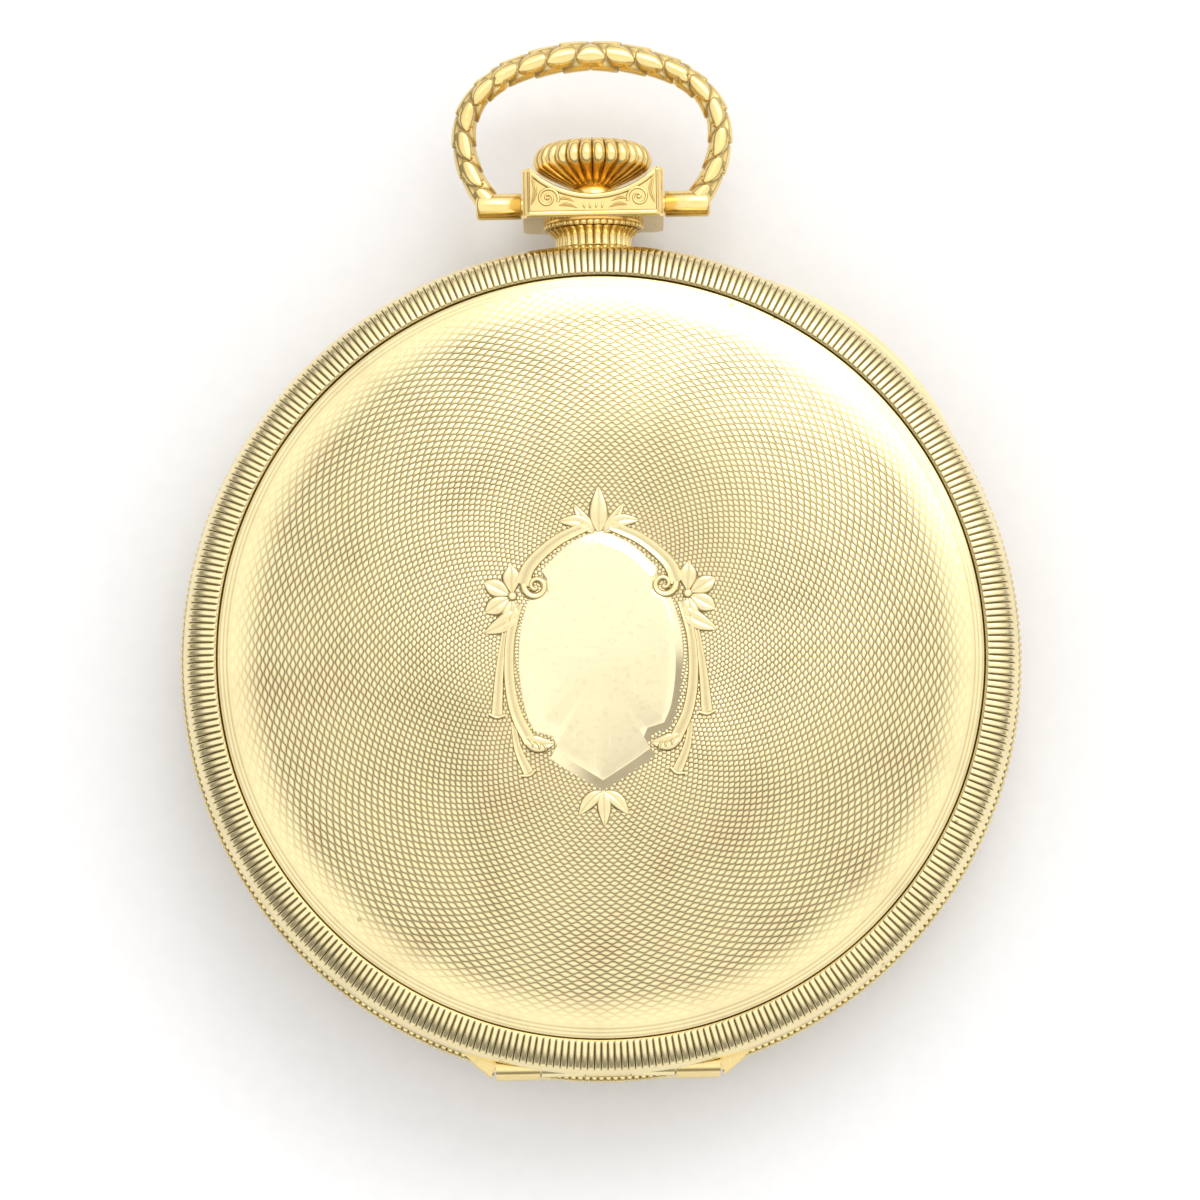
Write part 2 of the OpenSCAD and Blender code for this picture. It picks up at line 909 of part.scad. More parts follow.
// A spade hand pointing along +X, with a boss round its post
module spade_hand(len, spade_r, boss_r, bore_r, stem_w, z0, z1) {
    spade_x = len - 3.2 * spade_r;
    translate([0, 0, z0])
        linear_extrude(z1 - z0)
            difference() {
                union() {
                    circle(r = boss_r);
                    polygon([[0, -stem_w / 2], [spade_x, -stem_w / 2], [spade_x, stem_w / 2],
                        [0, stem_w / 2]]);
                    translate([spade_x, 0])
                        circle(r = spade_r);
                    polygon([[spade_x + 0.3 * spade_r, -0.95 * spade_r], [len, 0],
                        [spade_x + 0.3 * spade_r, 0.95 * spade_r]]);
                }
                circle(r = bore_r);
            }
}

module hour_hand() {
    color(blued) lift()
        rotate([0, 0, hour_dir])
            spade_hand(hour_hand_len, 0.85, 1.25, hour_tube_r, 0.5, 2.62, 2.72);
}

module minute_hand() {
    color(blued) lift()
        rotate([0, 0, minute_dir])
            spade_hand(minute_hand_len, 0.6, 0.95, cannon_r, 0.4, 2.9, 3);
}

module second_hand() {
    color(blued) lift()
        at(fourth_at)
            rotate([0, 0, 180])
                translate([0, 0, 2.45])
                    linear_extrude(0.1)
                        difference() {
                            union() {
                                circle(r = 0.38);
                                polygon([[-1.2, -0.13], [second_hand_len, -0.04], [second_hand_len, 0.04],
                                    [-1.2, 0.13]]);
                            }
                            circle(r = pivot_r);
                        }
}

module dial() {
    color("#eeeade") lift()
        difference() {
            union() {
                disc(19.3, dial_seat, 2.35);
                for (p = dial_feet_at)
                    at(p)
                        disc(0.4, 1.1, dial_seat);
            }
            disc(1, 1, 3);
            at(fourth_at) {
                disc(0.3, 1, 3);
                disc(4.4, 2.23, 3);
            }
        }
}

// ---- Balance ----

module balance_wheel() {
    color(brass) lift()
        at(balance_at) {
            ring(balance_r - 0.55, balance_r, 0, 0.45);
            difference() {
                rotate([0, 0, 30])
                    translate([-balance_r + 0.3, -0.35, 0.05])
                        cube([2 * balance_r - 0.6, 0.7, 0.2]);
                disc(0.25, -1, 1);
            }
            ring(0.25, 0.75, 0.05, 0.25);
        }
}

module balance_screws() {
    color(rich_gold) lift()
        at(balance_at)
            for (i = [1 : timing_screws])
                rotate([0, 0, 30 + (i + 0.5) * 360 / timing_screws])
                    translate([balance_r, 0, 0.225])
                        along_x()
                            cylinder(r = 0.21, h = 0.34);
}

// The staff with the hairspring's collet above the arms and the roller below them
module balance_staff() {
    color(steel) lift()
        at(balance_at) {
            arbor(0.25, -0.9, 0.55);
            disc(0.42, -0.7, -0.42);
            disc(1.1, 0.3, 0.5);
        }
}

module roller_jewel() {
    color(ruby) lift()
        at(balance_at)
            rotate([0, 0, lever_dir + 180])
                translate([roller_pin_r, 0, 0])
                    disc(0.1, 0.5, 0.84);
}

module hairspring() {
    color("#3c4f86") lift()
        at(balance_at)
            translate([0, 0, -0.66])
                linear_extrude(0.2)
                    polygon(spiral_outline(0.48, 2.72, hair_turns, 0.05, 1));
}

module hairspring_stud() {
    color(steel) lift()
        at(balance_at + [2.96, 0])
            disc(0.2, bridge_front, -0.42);
}

// ---- Plates and bridges ----

// A round pocket in the main plate, open to the back, down to the given floor
module pocket(p, r, floor_z) {
    at(p)
        disc(r, plate_back - 1, floor_z);
}

module main_plate() {
    color(nickel) lift()
        difference() {
            union() {
                disc(plate_r, plate_back, plate_front);
                ring(plate_r - 1.2, plate_r - 0.3, plate_front, dial_seat);
                at(minute_wheel_at)
                    disc(0.3, plate_front, 1.89);
            }
            pocket(barrel_at, 8.4, 1);
            pocket(center_at, 1.6, 0.95);
            pocket(third_at, 5.7, 0.05);
            pocket(third_at, 0.8, pocket_floor);
            pocket(fourth_at, 4.95, 0.5);
            pocket(fourth_at, 0.8, pocket_floor);
            pocket(escape_at, 3.3, pocket_floor);
            pocket(balance_at, 6.1, 0.55);
            pocket(balance_at, 1.7, pocket_floor);
            at(escape_at)
                rotate([0, 0, lever_dir])
                    translate([0, -lever_room, -1])
                        cube([norm(balance_at - escape_at), 2 * lever_room, pocket_floor + 1]);
            disc(0.36, -1, 3);
            at(barrel_at)
                disc(0.54, -1, 3);
            for (p = plate_jewels_at)
                at(p)
                    disc(jewel_r, 0, 3);
            for (p = screws_at)
                at(p)
                    disc(0.4, -1, 0.6);
            at(pallet_foot)
                disc(0.3, -1, 0.5);
            for (p = case_screws_at)
                at(p)
                    disc(0.35, -1, 0.9);
            for (p = dial_feet_at)
                at(p)
                    disc(0.4, 1.1, 3);
            translate([-slot_half_w, 14.2, -1])
                cube([2 * slot_half_w, 4.1, 4]);
            translate([0, 17, 0])
                along_y()
                    cylinder(r = stem_r + 0.05, h = 5);
        }
}

// The half of the movement on the barrel's side of a slanting line through [0, y]
module barrel_half(y) {
    translate([0, y])
        rotate(bridge_tilt)
            translate([-30, 0])
                square([60, 30]);
}

module barrel_bridge_outline() {
    intersection() {
        circle(r = bridge_r);
        barrel_half(1.65);
    }
}

module train_bridge_outline() {
    difference() {
        intersection() {
            circle(r = bridge_r);
            translate([-30, -7])
                square([60, 30]);
        }
        barrel_half(1.45);
        translate(balance_at)
            circle(r = 6.35);
    }
}

// A bridge from its outline: a slab over the wheels, standing on a foot round the edge
module bridge() {
    translate([0, 0, bridge_back])
        linear_extrude(bridge_front - bridge_back)
            children();
    intersection() {
        translate([0, 0, bridge_front])
            linear_extrude(plate_back - bridge_front)
                children();
        ring(foot_r, bridge_r, -2, 0);
    }
}

// Holes for a countersunk bridge screw
module screw_room(p) {
    at(p) {
        disc(0.82, -3, -1.6);
        disc(0.42, -3, 0);
    }
}

module barrel_bridge() {
    color(nickel) lift() {
        at(click_at)
            disc(0.3, steel_z[0], wheel_floor + 0.1);
        difference() {
            bridge()
                barrel_bridge_outline();
            at(barrel_at) {
                disc(8.5, bridge_front, 0);
                disc(6.35, -3, wheel_floor);
                disc(0.74, -3, 0);
            }
            at(crown_wheel_at)
                disc(3.3, -3, wheel_floor);
            at(click_at)
                disc(2.6, -3, wheel_floor);
            translate([-slot_half_w, 16.7, -3])
                cube([2 * slot_half_w, 1.6, 3]);
            translate([-slot_half_w, 14, bridge_front])
                cube([2 * slot_half_w, 3, 1]);
            translate([0, 17, 0])
                along_y()
                    cylinder(r = stem_r + 0.05, h = 5);
            for (p = [screws_at[0], screws_at[1]])
                screw_room(p);
        }
    }
}

module train_bridge() {
    color(nickel) lift()
        difference() {
            bridge()
                train_bridge_outline();
            for (p = set_jewels_at)
                at(p) {
                    disc(jewel_r, -3, 0);
                    disc(0.85, -3, -1.55);
                }
            for (p = [screws_at[2], screws_at[3]])
                screw_room(p);
        }
}

// A flat arm between two round ends, with its half widths at the ends
module arm(p, r_p, q, r_q, w_p, w_q, z0, z1) {
    side = on_circle(1, bearing(p, q) + 90);
    at(p)
        disc(r_p, z0, z1);
    at(q)
        disc(r_q, z0, z1);
    translate([0, 0, z0])
        linear_extrude(z1 - z0)
            polygon([p + w_p * side, q + w_q * side, q - w_q * side, p - w_p * side]);
}

module balance_cock() {
    color(nickel) lift()
        difference() {
            union() {
                arm(balance_at, 1.75, cock_foot, 2.3, 1.3, 2, bridge_back, bridge_front);
                at(cock_foot)
                    disc(2.3, bridge_front, plate_back);
                at(balance_at)
                    disc(1, -2.12, bridge_back);
            }
            at(balance_at)
                disc(jewel_r, -3, 0);
            screw_room(cock_foot);
        }
}

// The lever's bridge: a high arm from its foot, and a low step that passes under the third wheel
module pallet_bridge() {
    step_at = pallet_at + on_circle(1.6, bearing(pallet_at, pallet_foot));
    color(nickel) lift()
        difference() {
            union() {
                arm(pallet_at, 0.7, step_at, 0.65, 0.6, 0.6, -0.06, 0.2);
                arm(step_at, 0.65, pallet_foot, 1, 0.6, 0.75, -0.8, plate_back);
                at(step_at)
                    disc(0.65, -0.5, 0.1);
            }
            at(pallet_at)
                disc(jewel_hole_r, -1, 1);
            at(pallet_foot)
                disc(0.32, -1, 0);
        }
}

module regulator() {
    dir = bearing(balance_at, cock_foot);
    color(steel) lift()
        at(balance_at) {
            ring(1.03, 1.55, -2.1, -1.92);
            rotate([0, 0, dir])
                translate([0, 0, -2.1])
                    linear_extrude(0.18)
                        polygon([[1.4, -0.3], [5, -0.12], [5.6, 0], [5, 0.12], [1.4, 0.3]]);
        }
}

module jewels() {
    color(ruby) lift() {
        for (p = concat(set_jewels_at, [balance_at]))
            at(p)
                ring(jewel_hole_r, jewel_r, -1.55, -1.25);
        for (p = plate_jewels_at)
            at(p)
                ring(jewel_hole_r, jewel_r, 1, 1.3);
    }
}

module jewel_settings() {
    color(rich_gold) lift()
        for (p = set_jewels_at)
            at(p)
                ring(jewel_r, 0.85, bridge_back, -1.55);
}

module bridge_screws() {
    color(blued) lift() {
        for (p = screws_at)
            at(p)
                slotted_screw(0.78, [bridge_back, -1.6], 0.4, [-1.6, 0.6])
                    rotate([0, 0, 40])
                        translate([-1, -0.12, -2])
                            cube([2, 0.24, 0.22]);
        at(pallet_foot)
            slotted_screw(0.6, [-0.98, -0.8], 0.3, [-0.8, 0.5])
                translate([-1, -0.1, -1.1])
                    cube([2, 0.2, 0.2]);
    }
}

module case_screws() {
    color(blued) lift()
        for (p = case_screws_at)
            at(p)
                slotted_screw(0.75, [-1, -0.72], 0.35, [-0.72, 0.9])
                    translate([-1, -0.1, -1.1])
                        cube([2, 0.2, 0.22]);
}

case_band();
front_cover();
back_cover();
dust_cover();
bezel();
crystal();
front_hinge_pin();
back_hinge_pin();
lock_spring();
lift_spring();
spring_screws();
pendant();
pendant_sleeve();
bow();
crown();
winding_stem();
case_screws();
winding_pinion();
clutch_wheel();
crown_wheel();
crown_wheel_screw();
ratchet_wheel();
ratchet_screw();
click();
click_spring();
barrel_drum();
barrel_lid();
barrel_arbor();
mainspring();
center_wheel();
third_wheel();
fourth_wheel();
escape_wheel();
pallet_fork();
pallet_stones();
cannon_pinion();
minute_wheel();
hour_wheel();
balance_wheel();
balance_screws();
balance_staff();
roller_jewel();
hairspring();
hairspring_stud();
main_plate();
barrel_bridge();
train_bridge();
balance_cock();
pallet_bridge();
regulator();
jewels();
jewel_settings();
bridge_screws();
dial();
hour_hand();
minute_hand();
second_hand();
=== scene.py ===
import json
import math

import bpy
import numpy as np
from mathutils import Matrix, Vector


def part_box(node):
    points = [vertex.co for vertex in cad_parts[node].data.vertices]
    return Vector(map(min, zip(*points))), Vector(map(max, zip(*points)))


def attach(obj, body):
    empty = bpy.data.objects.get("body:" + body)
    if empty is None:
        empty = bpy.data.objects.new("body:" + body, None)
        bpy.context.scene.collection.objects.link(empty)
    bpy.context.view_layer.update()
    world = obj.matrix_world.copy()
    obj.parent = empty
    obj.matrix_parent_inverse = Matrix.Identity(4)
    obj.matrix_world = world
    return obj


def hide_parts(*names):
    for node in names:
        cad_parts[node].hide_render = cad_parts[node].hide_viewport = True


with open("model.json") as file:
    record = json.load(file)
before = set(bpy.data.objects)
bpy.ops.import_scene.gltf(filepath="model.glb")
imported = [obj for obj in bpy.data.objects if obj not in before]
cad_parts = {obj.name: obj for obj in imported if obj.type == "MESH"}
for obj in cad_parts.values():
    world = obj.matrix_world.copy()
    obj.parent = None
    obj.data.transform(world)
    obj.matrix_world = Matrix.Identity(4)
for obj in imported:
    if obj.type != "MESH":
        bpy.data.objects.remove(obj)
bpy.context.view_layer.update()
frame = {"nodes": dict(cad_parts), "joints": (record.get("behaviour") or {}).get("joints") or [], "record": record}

MM = 0.001
TAU = 2 * math.pi


# ---- Places taken from the frame ----

def joint_place(name):
    """Where a joint's axis passes, in the row frame."""
    found = next(j for j in frame["joints"] if j["name"] == name)
    return Vector(found["pos_m"])


lid_lo, lid_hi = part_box("front_cover")
crown_lo, crown_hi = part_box("crown")
band_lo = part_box("case_band")[0]
dial_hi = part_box("dial")[1]
pendant_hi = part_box("pendant")[1]

MID_Z = joint_place("crown_turn").z
LID_R = -lid_lo.x
BAND_R = -band_lo.x
LID_TOP = lid_hi.z - MID_Z
PART_Z = joint_place("front_lid_hinge").z - MID_Z
BOW_Y = joint_place("bow_swivel").y
DIAL_TOP = dial_hi.z

# The lids: a flat middle, a dome that falls to the crease, then a reeded rim
FLAT_R = 7 * MM
CREASE_R = LID_R - 1.8 * MM
DOME_FALL = 2 * MM
DOME_POWER = 2.2

# How far a skin stands over the CAD surface, and how far relief goes under the surface it stands on
SKIN = 0.02 * MM
SINK = 0.08 * MM

# Engine turning: lobes in a ring, distance between rings, and the depth of a cut
LOBES = 150
RING_PITCH = 0.208 * MM
WAVE = 0.36
CUT_DEPTH = 0.06 * MM
TURNING_IN = 4.3 * MM
TURNING_OUT = 20.5 * MM
TURNING_FADE = 18.4 * MM
COLUMNS_A_LOBE = 6

# Lines round the turning: share of the way out to the crease, height in millimetres, painted shade along the line
FINE_LINES = [(0.15, 0.008, 0.2), (0.28, 0.0, 0.6), (0.4, 0.012, 0.1), (0.52, 0.0, 0.6), (0.64, 0.012, 0.1),
              (0.76, 0.0, 0.6), (0.86, 0.008, 0.3), (1.0, -0.03, 1)]

# Height of the cartouche's centre on the lid
CARTOUCHE_Y = -0.65 * MM

# The rim: reeds, and one reed's places across and its height at each
REEDS = 380
REED_DEPTH = 0.09 * MM
REED_PHASE = [0, 0.13, 0.28, 0.5, 0.72, 0.87]
REED_RISE = [0, 0.7, 0.95, 1, 0.95, 0.7]

# The lip that opens a lid is an arc: its radius, and its centre's distance from the watch's axis
LIP_R = 16.4 * MM
LIP_OFF = 7.1 * MM

# The rims stay this high over the parting plane beside the hinge
HINGE_HALF = 6.3 * MM
HINGE_CLEAR = 0.82 * MM

BEADS = 374

# The dial: print height, minute track, small seconds track, and the sink of the small dial
PRINT_RISE = 0.012 * MM
PRINT_FOOT = 0.004 * MM
MINUTES_IN, MINUTES_OUT = 17.0 * MM, 17.9 * MM
SECONDS_IN, SECONDS_OUT = 3.45 * MM, 3.9 * MM
SECONDS_SINK = 0.12 * MM
HOURS_R = 14.6 * MM
NUMERAL_SIZE = 4.2 * MM

# The sky: each patch has a direction, the cosines between which it fades in, and a brightness
SKY_TOP = (0.03, 0.01, 1)
SKY_TOP_FROM, SKY_TOP_TO = 0.9936, 0.9995
SKY_TOP_LEVEL = 0.85
SKY_BRIGHT = (0.14, 0.22, 0.965)
SKY_BRIGHT_FROM, SKY_BRIGHT_TO = 0.2, 0.62
SKY_BRIGHT_LEVEL = 1.3
SKY_DIM_LEVEL = 0.34
SKY_MATT_LEVEL = 1.02
SKY_SEEN_LEVEL = 1.0

FLOOR_HALF = 1.5
FLOOR_Z = -0.05 * MM
CAMERA_DISTANCE = 0.45
CAMERA_LENS = 245.9
CAMERA_ELEVATION = math.radians(83.4)
CAMERA_ROLL = math.radians(-1)


# ---- Mesh building ----

class Piece:
    """Collects closed surfaces, each a lattice of points, and makes them one named object."""

    def __init__(self):
        self.points = []
        self.loops = []
        self.sizes = []
        self.grooves = []
        self.count = 0

    def lattice(self, points, wrap_rows=True, wrap_columns=True, groove=None):
        """A lattice shaped (rows, columns, 3). Ends that don't wrap are closed by one face each."""
        rows, columns = points.shape[:2]
        index = np.arange(rows * columns).reshape(rows, columns)
        right = np.roll(index, -1, 1)
        quads = np.stack([index, right, np.roll(right, -1, 0), np.roll(index, -1, 0)], -1)
        caps = []
        if not wrap_rows:
            quads = quads[:-1]
            caps = [index[0][::-1], index[-1]]
        if not wrap_columns:
            quads = quads[:, :-1]
            caps = [index[:, 0], index[:, -1][::-1]]
        quads = quads.reshape(-1, 4)
        flat = points.reshape(-1, 3)
        if self.volume(flat, quads, caps) < 0:
            quads = quads[:, ::-1]
            caps = [cap[::-1] for cap in caps]
        self.loops += [quads.ravel() + self.count] + [cap + self.count for cap in caps]
        self.sizes += [np.full(len(quads), 4)] + [np.array([len(cap)]) for cap in caps]
        self.points.append(flat)
        depth = np.zeros(rows * columns) if groove is None else np.asarray(groove).reshape(-1)
        self.grooves.append(depth)
        self.count += rows * columns

    @staticmethod
    def volume(flat, quads, caps):
        """Six times the signed volume inside the quads and the end faces."""
        a, b, c, d = (flat[quads[:, k]] for k in range(4))
        total = np.einsum("ij,ij->", a, np.cross(b, c)) + np.einsum("ij,ij->", a, np.cross(c, d))
        for cap in caps:
            ring = flat[cap]
            total += np.einsum("j,ij->", ring[0], np.cross(ring[1:-1], ring[2:]))
        return total

    def build(self, name, material, body, sharp=35):
        """The object, smooth but for edges sharper than an angle, riding on a CAD body."""
        mesh = bpy.data.meshes.new(name)
        points = np.concatenate(self.points).astype(np.float32)
        loops = np.concatenate(self.loops).astype(np.int32)
        sizes = np.concatenate(self.sizes).astype(np.int32)
        mesh.vertices.add(len(points))
        mesh.vertices.foreach_set("co", points.ravel())
        mesh.loops.add(len(loops))
        mesh.loops.foreach_set("vertex_index", loops)
        mesh.polygons.add(len(sizes))
        mesh.polygons.foreach_set("loop_start", np.cumsum(sizes, dtype=np.int32) - sizes)
        mesh.update(calc_edges=True)
        mesh.validate()
        # groove: painted shade at each point, from 0 for none to 1 for the full shade colour
        groove = mesh.attributes.new("groove", "FLOAT", "POINT")
        groove.data.foreach_set("value", np.concatenate(self.grooves).astype(np.float32))
        mesh.polygons.foreach_set("use_smooth", np.ones(len(mesh.polygons), bool))
        mesh.set_sharp_from_angle(angle=math.radians(sharp))
        mesh.materials.append(material)
        made = bpy.data.objects.new(name, mesh)
        bpy.context.scene.collection.objects.link(made)
        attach(made, body)
        return made


def smooth(t):
    """0 to 1 with a soft start and end."""
    t = np.clip(t, 0, 1)
    return t * t * (3 - 2 * t)


def curve(points, count):
    """A smooth line of count points through a few given ones."""
    p = np.asarray(points, float)
    p = np.vstack([2 * p[0] - p[1], p, 2 * p[-1] - p[-2]])
    t = np.linspace(0, len(p) - 3 - 1e-9, count)
    k = t.astype(int)
    u = (t - k)[:, None]
    a, b, c, d = p[k], p[k + 1], p[k + 2], p[k + 3]
    return 0.5 * (2 * b + (c - a) * u + (2 * a - 5 * b + 4 * c - d) * u ** 2
                  + (3 * b - a - 3 * c + d) * u ** 3)


def scallops(count, per, power):
    """Angles round a full turn, per of them to each of count lobes, and the lobes' height at each."""
    steps = np.arange(count * per) % per
    angle = np.linspace(0, TAU, count * per, endpoint=False)
    return angle, np.abs(np.sin(math.pi * steps / per)) ** power


def path_normals(path):
    """Unit vectors to the left of a flat path."""
    along = np.gradient(path, axis=0)
    along /= np.linalg.norm(along, axis=1)[:, None] + 1e-12
    return np.stack([-along[:, 1], along[:, 0]], 1)


def around_z(radius, height, angle):
    """Points from radius and height round the watch's own axis."""
    return np.stack([radius * np.cos(angle), radius * np.sin(angle), MID_Z + height], -1)


def around_y(radius, y, angle):
    """Points from radius and place along the stem's axis."""
    return np.stack([radius * np.sin(angle), y, MID_Z + radius * np.cos(angle)], -1)


def around_x(x, radius, angle):
    """Points from place and radius round the bow's pivots."""
    return np.stack([x, BOW_Y + radius * np.cos(angle), MID_Z + radius * np.sin(angle)], -1)


def dome(radius):
    """Height of a lid's outside over the middle plane, inside the crease."""
    fall = np.clip((radius - FLAT_R) / (CREASE_R - FLAT_R), 0, 1)
    return LID_TOP - DOME_FALL * fall ** DOME_POWER


def strip(piece, path, half, height, surface, section="round"):
    """A raised ribbon along a flat path, with half widths and heights at its points."""
    across = np.sin(np.linspace(-math.pi / 2, math.pi / 2, 11))
    arch = np.sqrt(np.clip(1 - across ** 2, 0, 1))
    shapes = {
        "round": arch,
        "vein": arch * (0.55 + 0.55 * np.abs(across) ** 0.6),
        "gutter": arch * (0.35 + 0.9 * across ** 2) * 1.5,
    }
    shape = shapes[section]
    normals = path_normals(path)
    half = np.broadcast_to(half, len(path))[:, None]
    height = np.broadcast_to(height, len(path))[:, None]
    flat = path[:, None, :] + normals[:, None, :] * (half * across)[:, :, None]
    base = surface(flat[..., 0], flat[..., 1])
    top = np.dstack([flat, base + height * shape])
    under = top[:, ::-1][:, [0, 5, 10]].copy()
    under[..., 2] = base[:, ::-1][:, [0, 5, 10]] - SINK
    # painted shade at the ribbon's edges where it meets the surface, and full painted shade on its underside
    rim = np.broadcast_to(np.clip(1.15 * (1 - shape), 0, 1), base.shape)
    grooves = np.hstack([rim, np.ones((len(path), 3))])
    piece.lattice(np.concatenate([top, under], 1), wrap_rows=False, groove=grooves)


def leaf(piece, path, width, height, surface, section="vein", belly=0.9):
    """A ribbon that swells from its root and ends in a point."""
    line = curve(path, 17)
    t = np.linspace(0.02, 0.985, len(line))
    swell = np.sin(math.pi * t ** belly) ** 0.75
    strip(piece, line, width * swell, height * (0.35 + 0.65 * swell), surface, section)


def boss(piece, centre, radius, height, surface):
    """A small round dome."""
    angle = np.linspace(0, TAU, 24, endpoint=False)
    rows = []
    for share, rise in ((1, -SINK), (1, 0.1 * height), (0.86, 0.6 * height), (0.5, 0.93 * height),
                        (0.12, height)):
        x = centre[0] + share * radius * np.cos(angle)
        y = centre[1] + share * radius * np.sin(angle)
        rows.append(np.stack([x, y, surface(x, y) + rise], -1))
    # painted shade round the foot of the dome
    groove = np.repeat([1, 1, 0.35, 0, 0], 24)
    piece.lattice(np.array(rows), wrap_rows=False, groove=groove)


def spiral(centre, start_r, end_r, start, turns, count=40):
    """A flat path that winds in towards a centre; start is in degrees, turns may be negative."""
    t = np.linspace(0, 1, count)
    radius = start_r + (end_r - start_r) * t
    angle = math.radians(start) + turns * TAU * t
    return np.stack([centre[0] + radius * np.cos(angle), centre[1] + radius * np.sin(angle)], 1)


# ---- Materials ----

def add_node(tree, kind, inputs=None, **settings):
    """A shader node with its settings, its values, and links from the sockets it is given."""
    made = tree.nodes.new("ShaderNode" + kind)
    for key, value in settings.items():
        setattr(made, key, value)
    for key, value in (inputs or {}).items():
        if isinstance(value, bpy.types.NodeSocket):
            tree.links.new(value, made.inputs[key])
        else:
            made.inputs[key].default_value = value
    return made


class Shader:
    """A short way to write a node material."""

    def __init__(self, name):
        self.material = bpy.data.materials.new(name)
        self.material.use_nodes = True
        self.tree = self.material.node_tree
        self.tree.nodes.clear()
        self.place = self.add("TexCoord").outputs["Object"]

    def add(self, kind, inputs=None, **settings):
        return add_node(self.tree, kind, inputs, **settings)

    def math(self, operation, a, b=0.0, clamp=False):
        return self.add("Math", {0: a, 1: b}, operation=operation, use_clamp=clamp).outputs[0]

    def noise(self, scale, detail=2.0, place=None, distortion=0.0):
        inputs = {"Vector": place or self.place, "Scale": scale, "Detail": detail,
                  "Distortion": distortion}
        return self.add("TexNoise", inputs).outputs["Fac"]

    def span(self, value, low, high, to_low=0.0, to_high=1.0):
        inputs = {"Value": value, "From Min": low, "From Max": high, "To Min": to_low,
                  "To Max": to_high}
        return self.add("MapRange", inputs, clamp=True).outputs[0]

    def blend(self, share, a, b):
        return self.add("Mix", {0: share, 6: a, 7: b}, data_type="RGBA").outputs[2]

    def stretched(self, scale, turn=(0, 0, 0)):
        inputs = {"Vector": self.place, "Scale": scale, "Rotation": turn}
        return self.add("Mapping", inputs).outputs[0]

    def bump(self, height, strength, distance):
        inputs = {"Height": height, "Strength": strength, "Distance": distance}
        return self.add("Bump", inputs).outputs[0]

    def surface(self, **inputs):
        named = {key.replace("_", " "): value for key, value in inputs.items()}
        made = self.add("BsdfPrincipled", named)
        output = self.add("OutputMaterial")
        self.tree.links.new(made.outputs[0], output.inputs[0])
        return self.material


def linear(red, green, blue):
    """A colour given as screen values from 0 to 255."""
    return tuple(((v / 255 + 0.055) / 1.055) ** 2.4 for v in (red, green, blue)) + (1.0,)


def gold(name, colour, shade, rough, stain=0.35, groove=0.75):
    """Worn gold: painted shade in the grooves, faint clouds, specks, and hairline scratches."""
    s = Shader(name)
    clouds = s.noise(210, 5, distortion=0.3)
    fine = s.noise(2600, 3)
    hair_a = s.noise(1, 2, s.stretched((9000, 260, 260), (0, 0, 0.5)))
    hair_b = s.noise(1, 2, s.stretched((9000, 260, 260), (0, 0, 2.1)))
    specks = s.add("TexVoronoi", {"Vector": s.place, "Scale": 420.0}, feature="F1")
    speck = s.span(specks.outputs["Distance"], 0.045, 0.085, 1, 0)
    rare = s.span(s.noise(75, 1), 0.60, 0.64)
    speck = s.math("MULTIPLY", speck, rare)
    # The groove attribute is painted shade, reaching the groove argument's share of the shade colour; specks of
    # dirt are added to it.
    shade_and_specks = s.math("POWER", s.add("Attribute", attribute_name="groove").outputs["Fac"], 1.7)
    shade_and_specks = s.math("MULTIPLY", shade_and_specks, s.span(clouds, 0.3, 0.7, 0.85 * groove, groove))
    shade_and_specks = s.math("MAXIMUM", shade_and_specks, s.math("MULTIPLY", speck, 0.6))
    tinted = s.blend(s.span(clouds, 0.5, 0.8, 0, stain), colour, shade)
    tinted = s.blend(s.math("MULTIPLY", s.span(fine, 0.55, 0.8), 0.12), tinted, shade)
    tone = s.blend(shade_and_specks, tinted, shade)
    scratches = s.math("MAXIMUM", s.span(hair_a, 0.68, 0.74), s.span(hair_b, 0.69, 0.75))
    roughness = s.span(clouds, 0.25, 0.75, rough * 0.92, rough * 1.1)
    roughness = s.math("ADD", roughness, s.math("MULTIPLY", scratches, 0.10))
    roughness = s.math("ADD", roughness, s.math("MULTIPLY", shade_and_specks, 0.18), clamp=True)
    height = s.math("SUBTRACT", s.math("MULTIPLY", fine, 0.4), s.math("MULTIPLY", scratches, 0.5))
    return s.surface(Base_Color=tone, Metallic=1.0, Roughness=roughness,
                     Normal=s.bump(height, 0.35, 0.01 * MM))


def steel(name, colour, rough, grain):
    """Steel with a fine straight grain and soft blotches."""
    s = Shader(name)
    lines = s.noise(1, 3, s.stretched((grain, 400, 400), (0, 0, 0.35)))
    clouds = s.noise(700, 3)
    tone = s.blend(s.span(clouds, 0.35, 0.75, 0, 0.35), colour, tuple(0.55 * c for c in colour[:3]) + (1,))
    roughness = s.math("ADD", s.span(lines, 0.3, 0.7, rough * 0.6, rough * 1.5),
                       s.span(clouds, 0.4, 0.8, 0, 0.06))
    return s.surface(Base_Color=tone, Metallic=1.0, Roughness=roughness,
                     Normal=s.bump(lines, 0.25, 0.004 * MM))


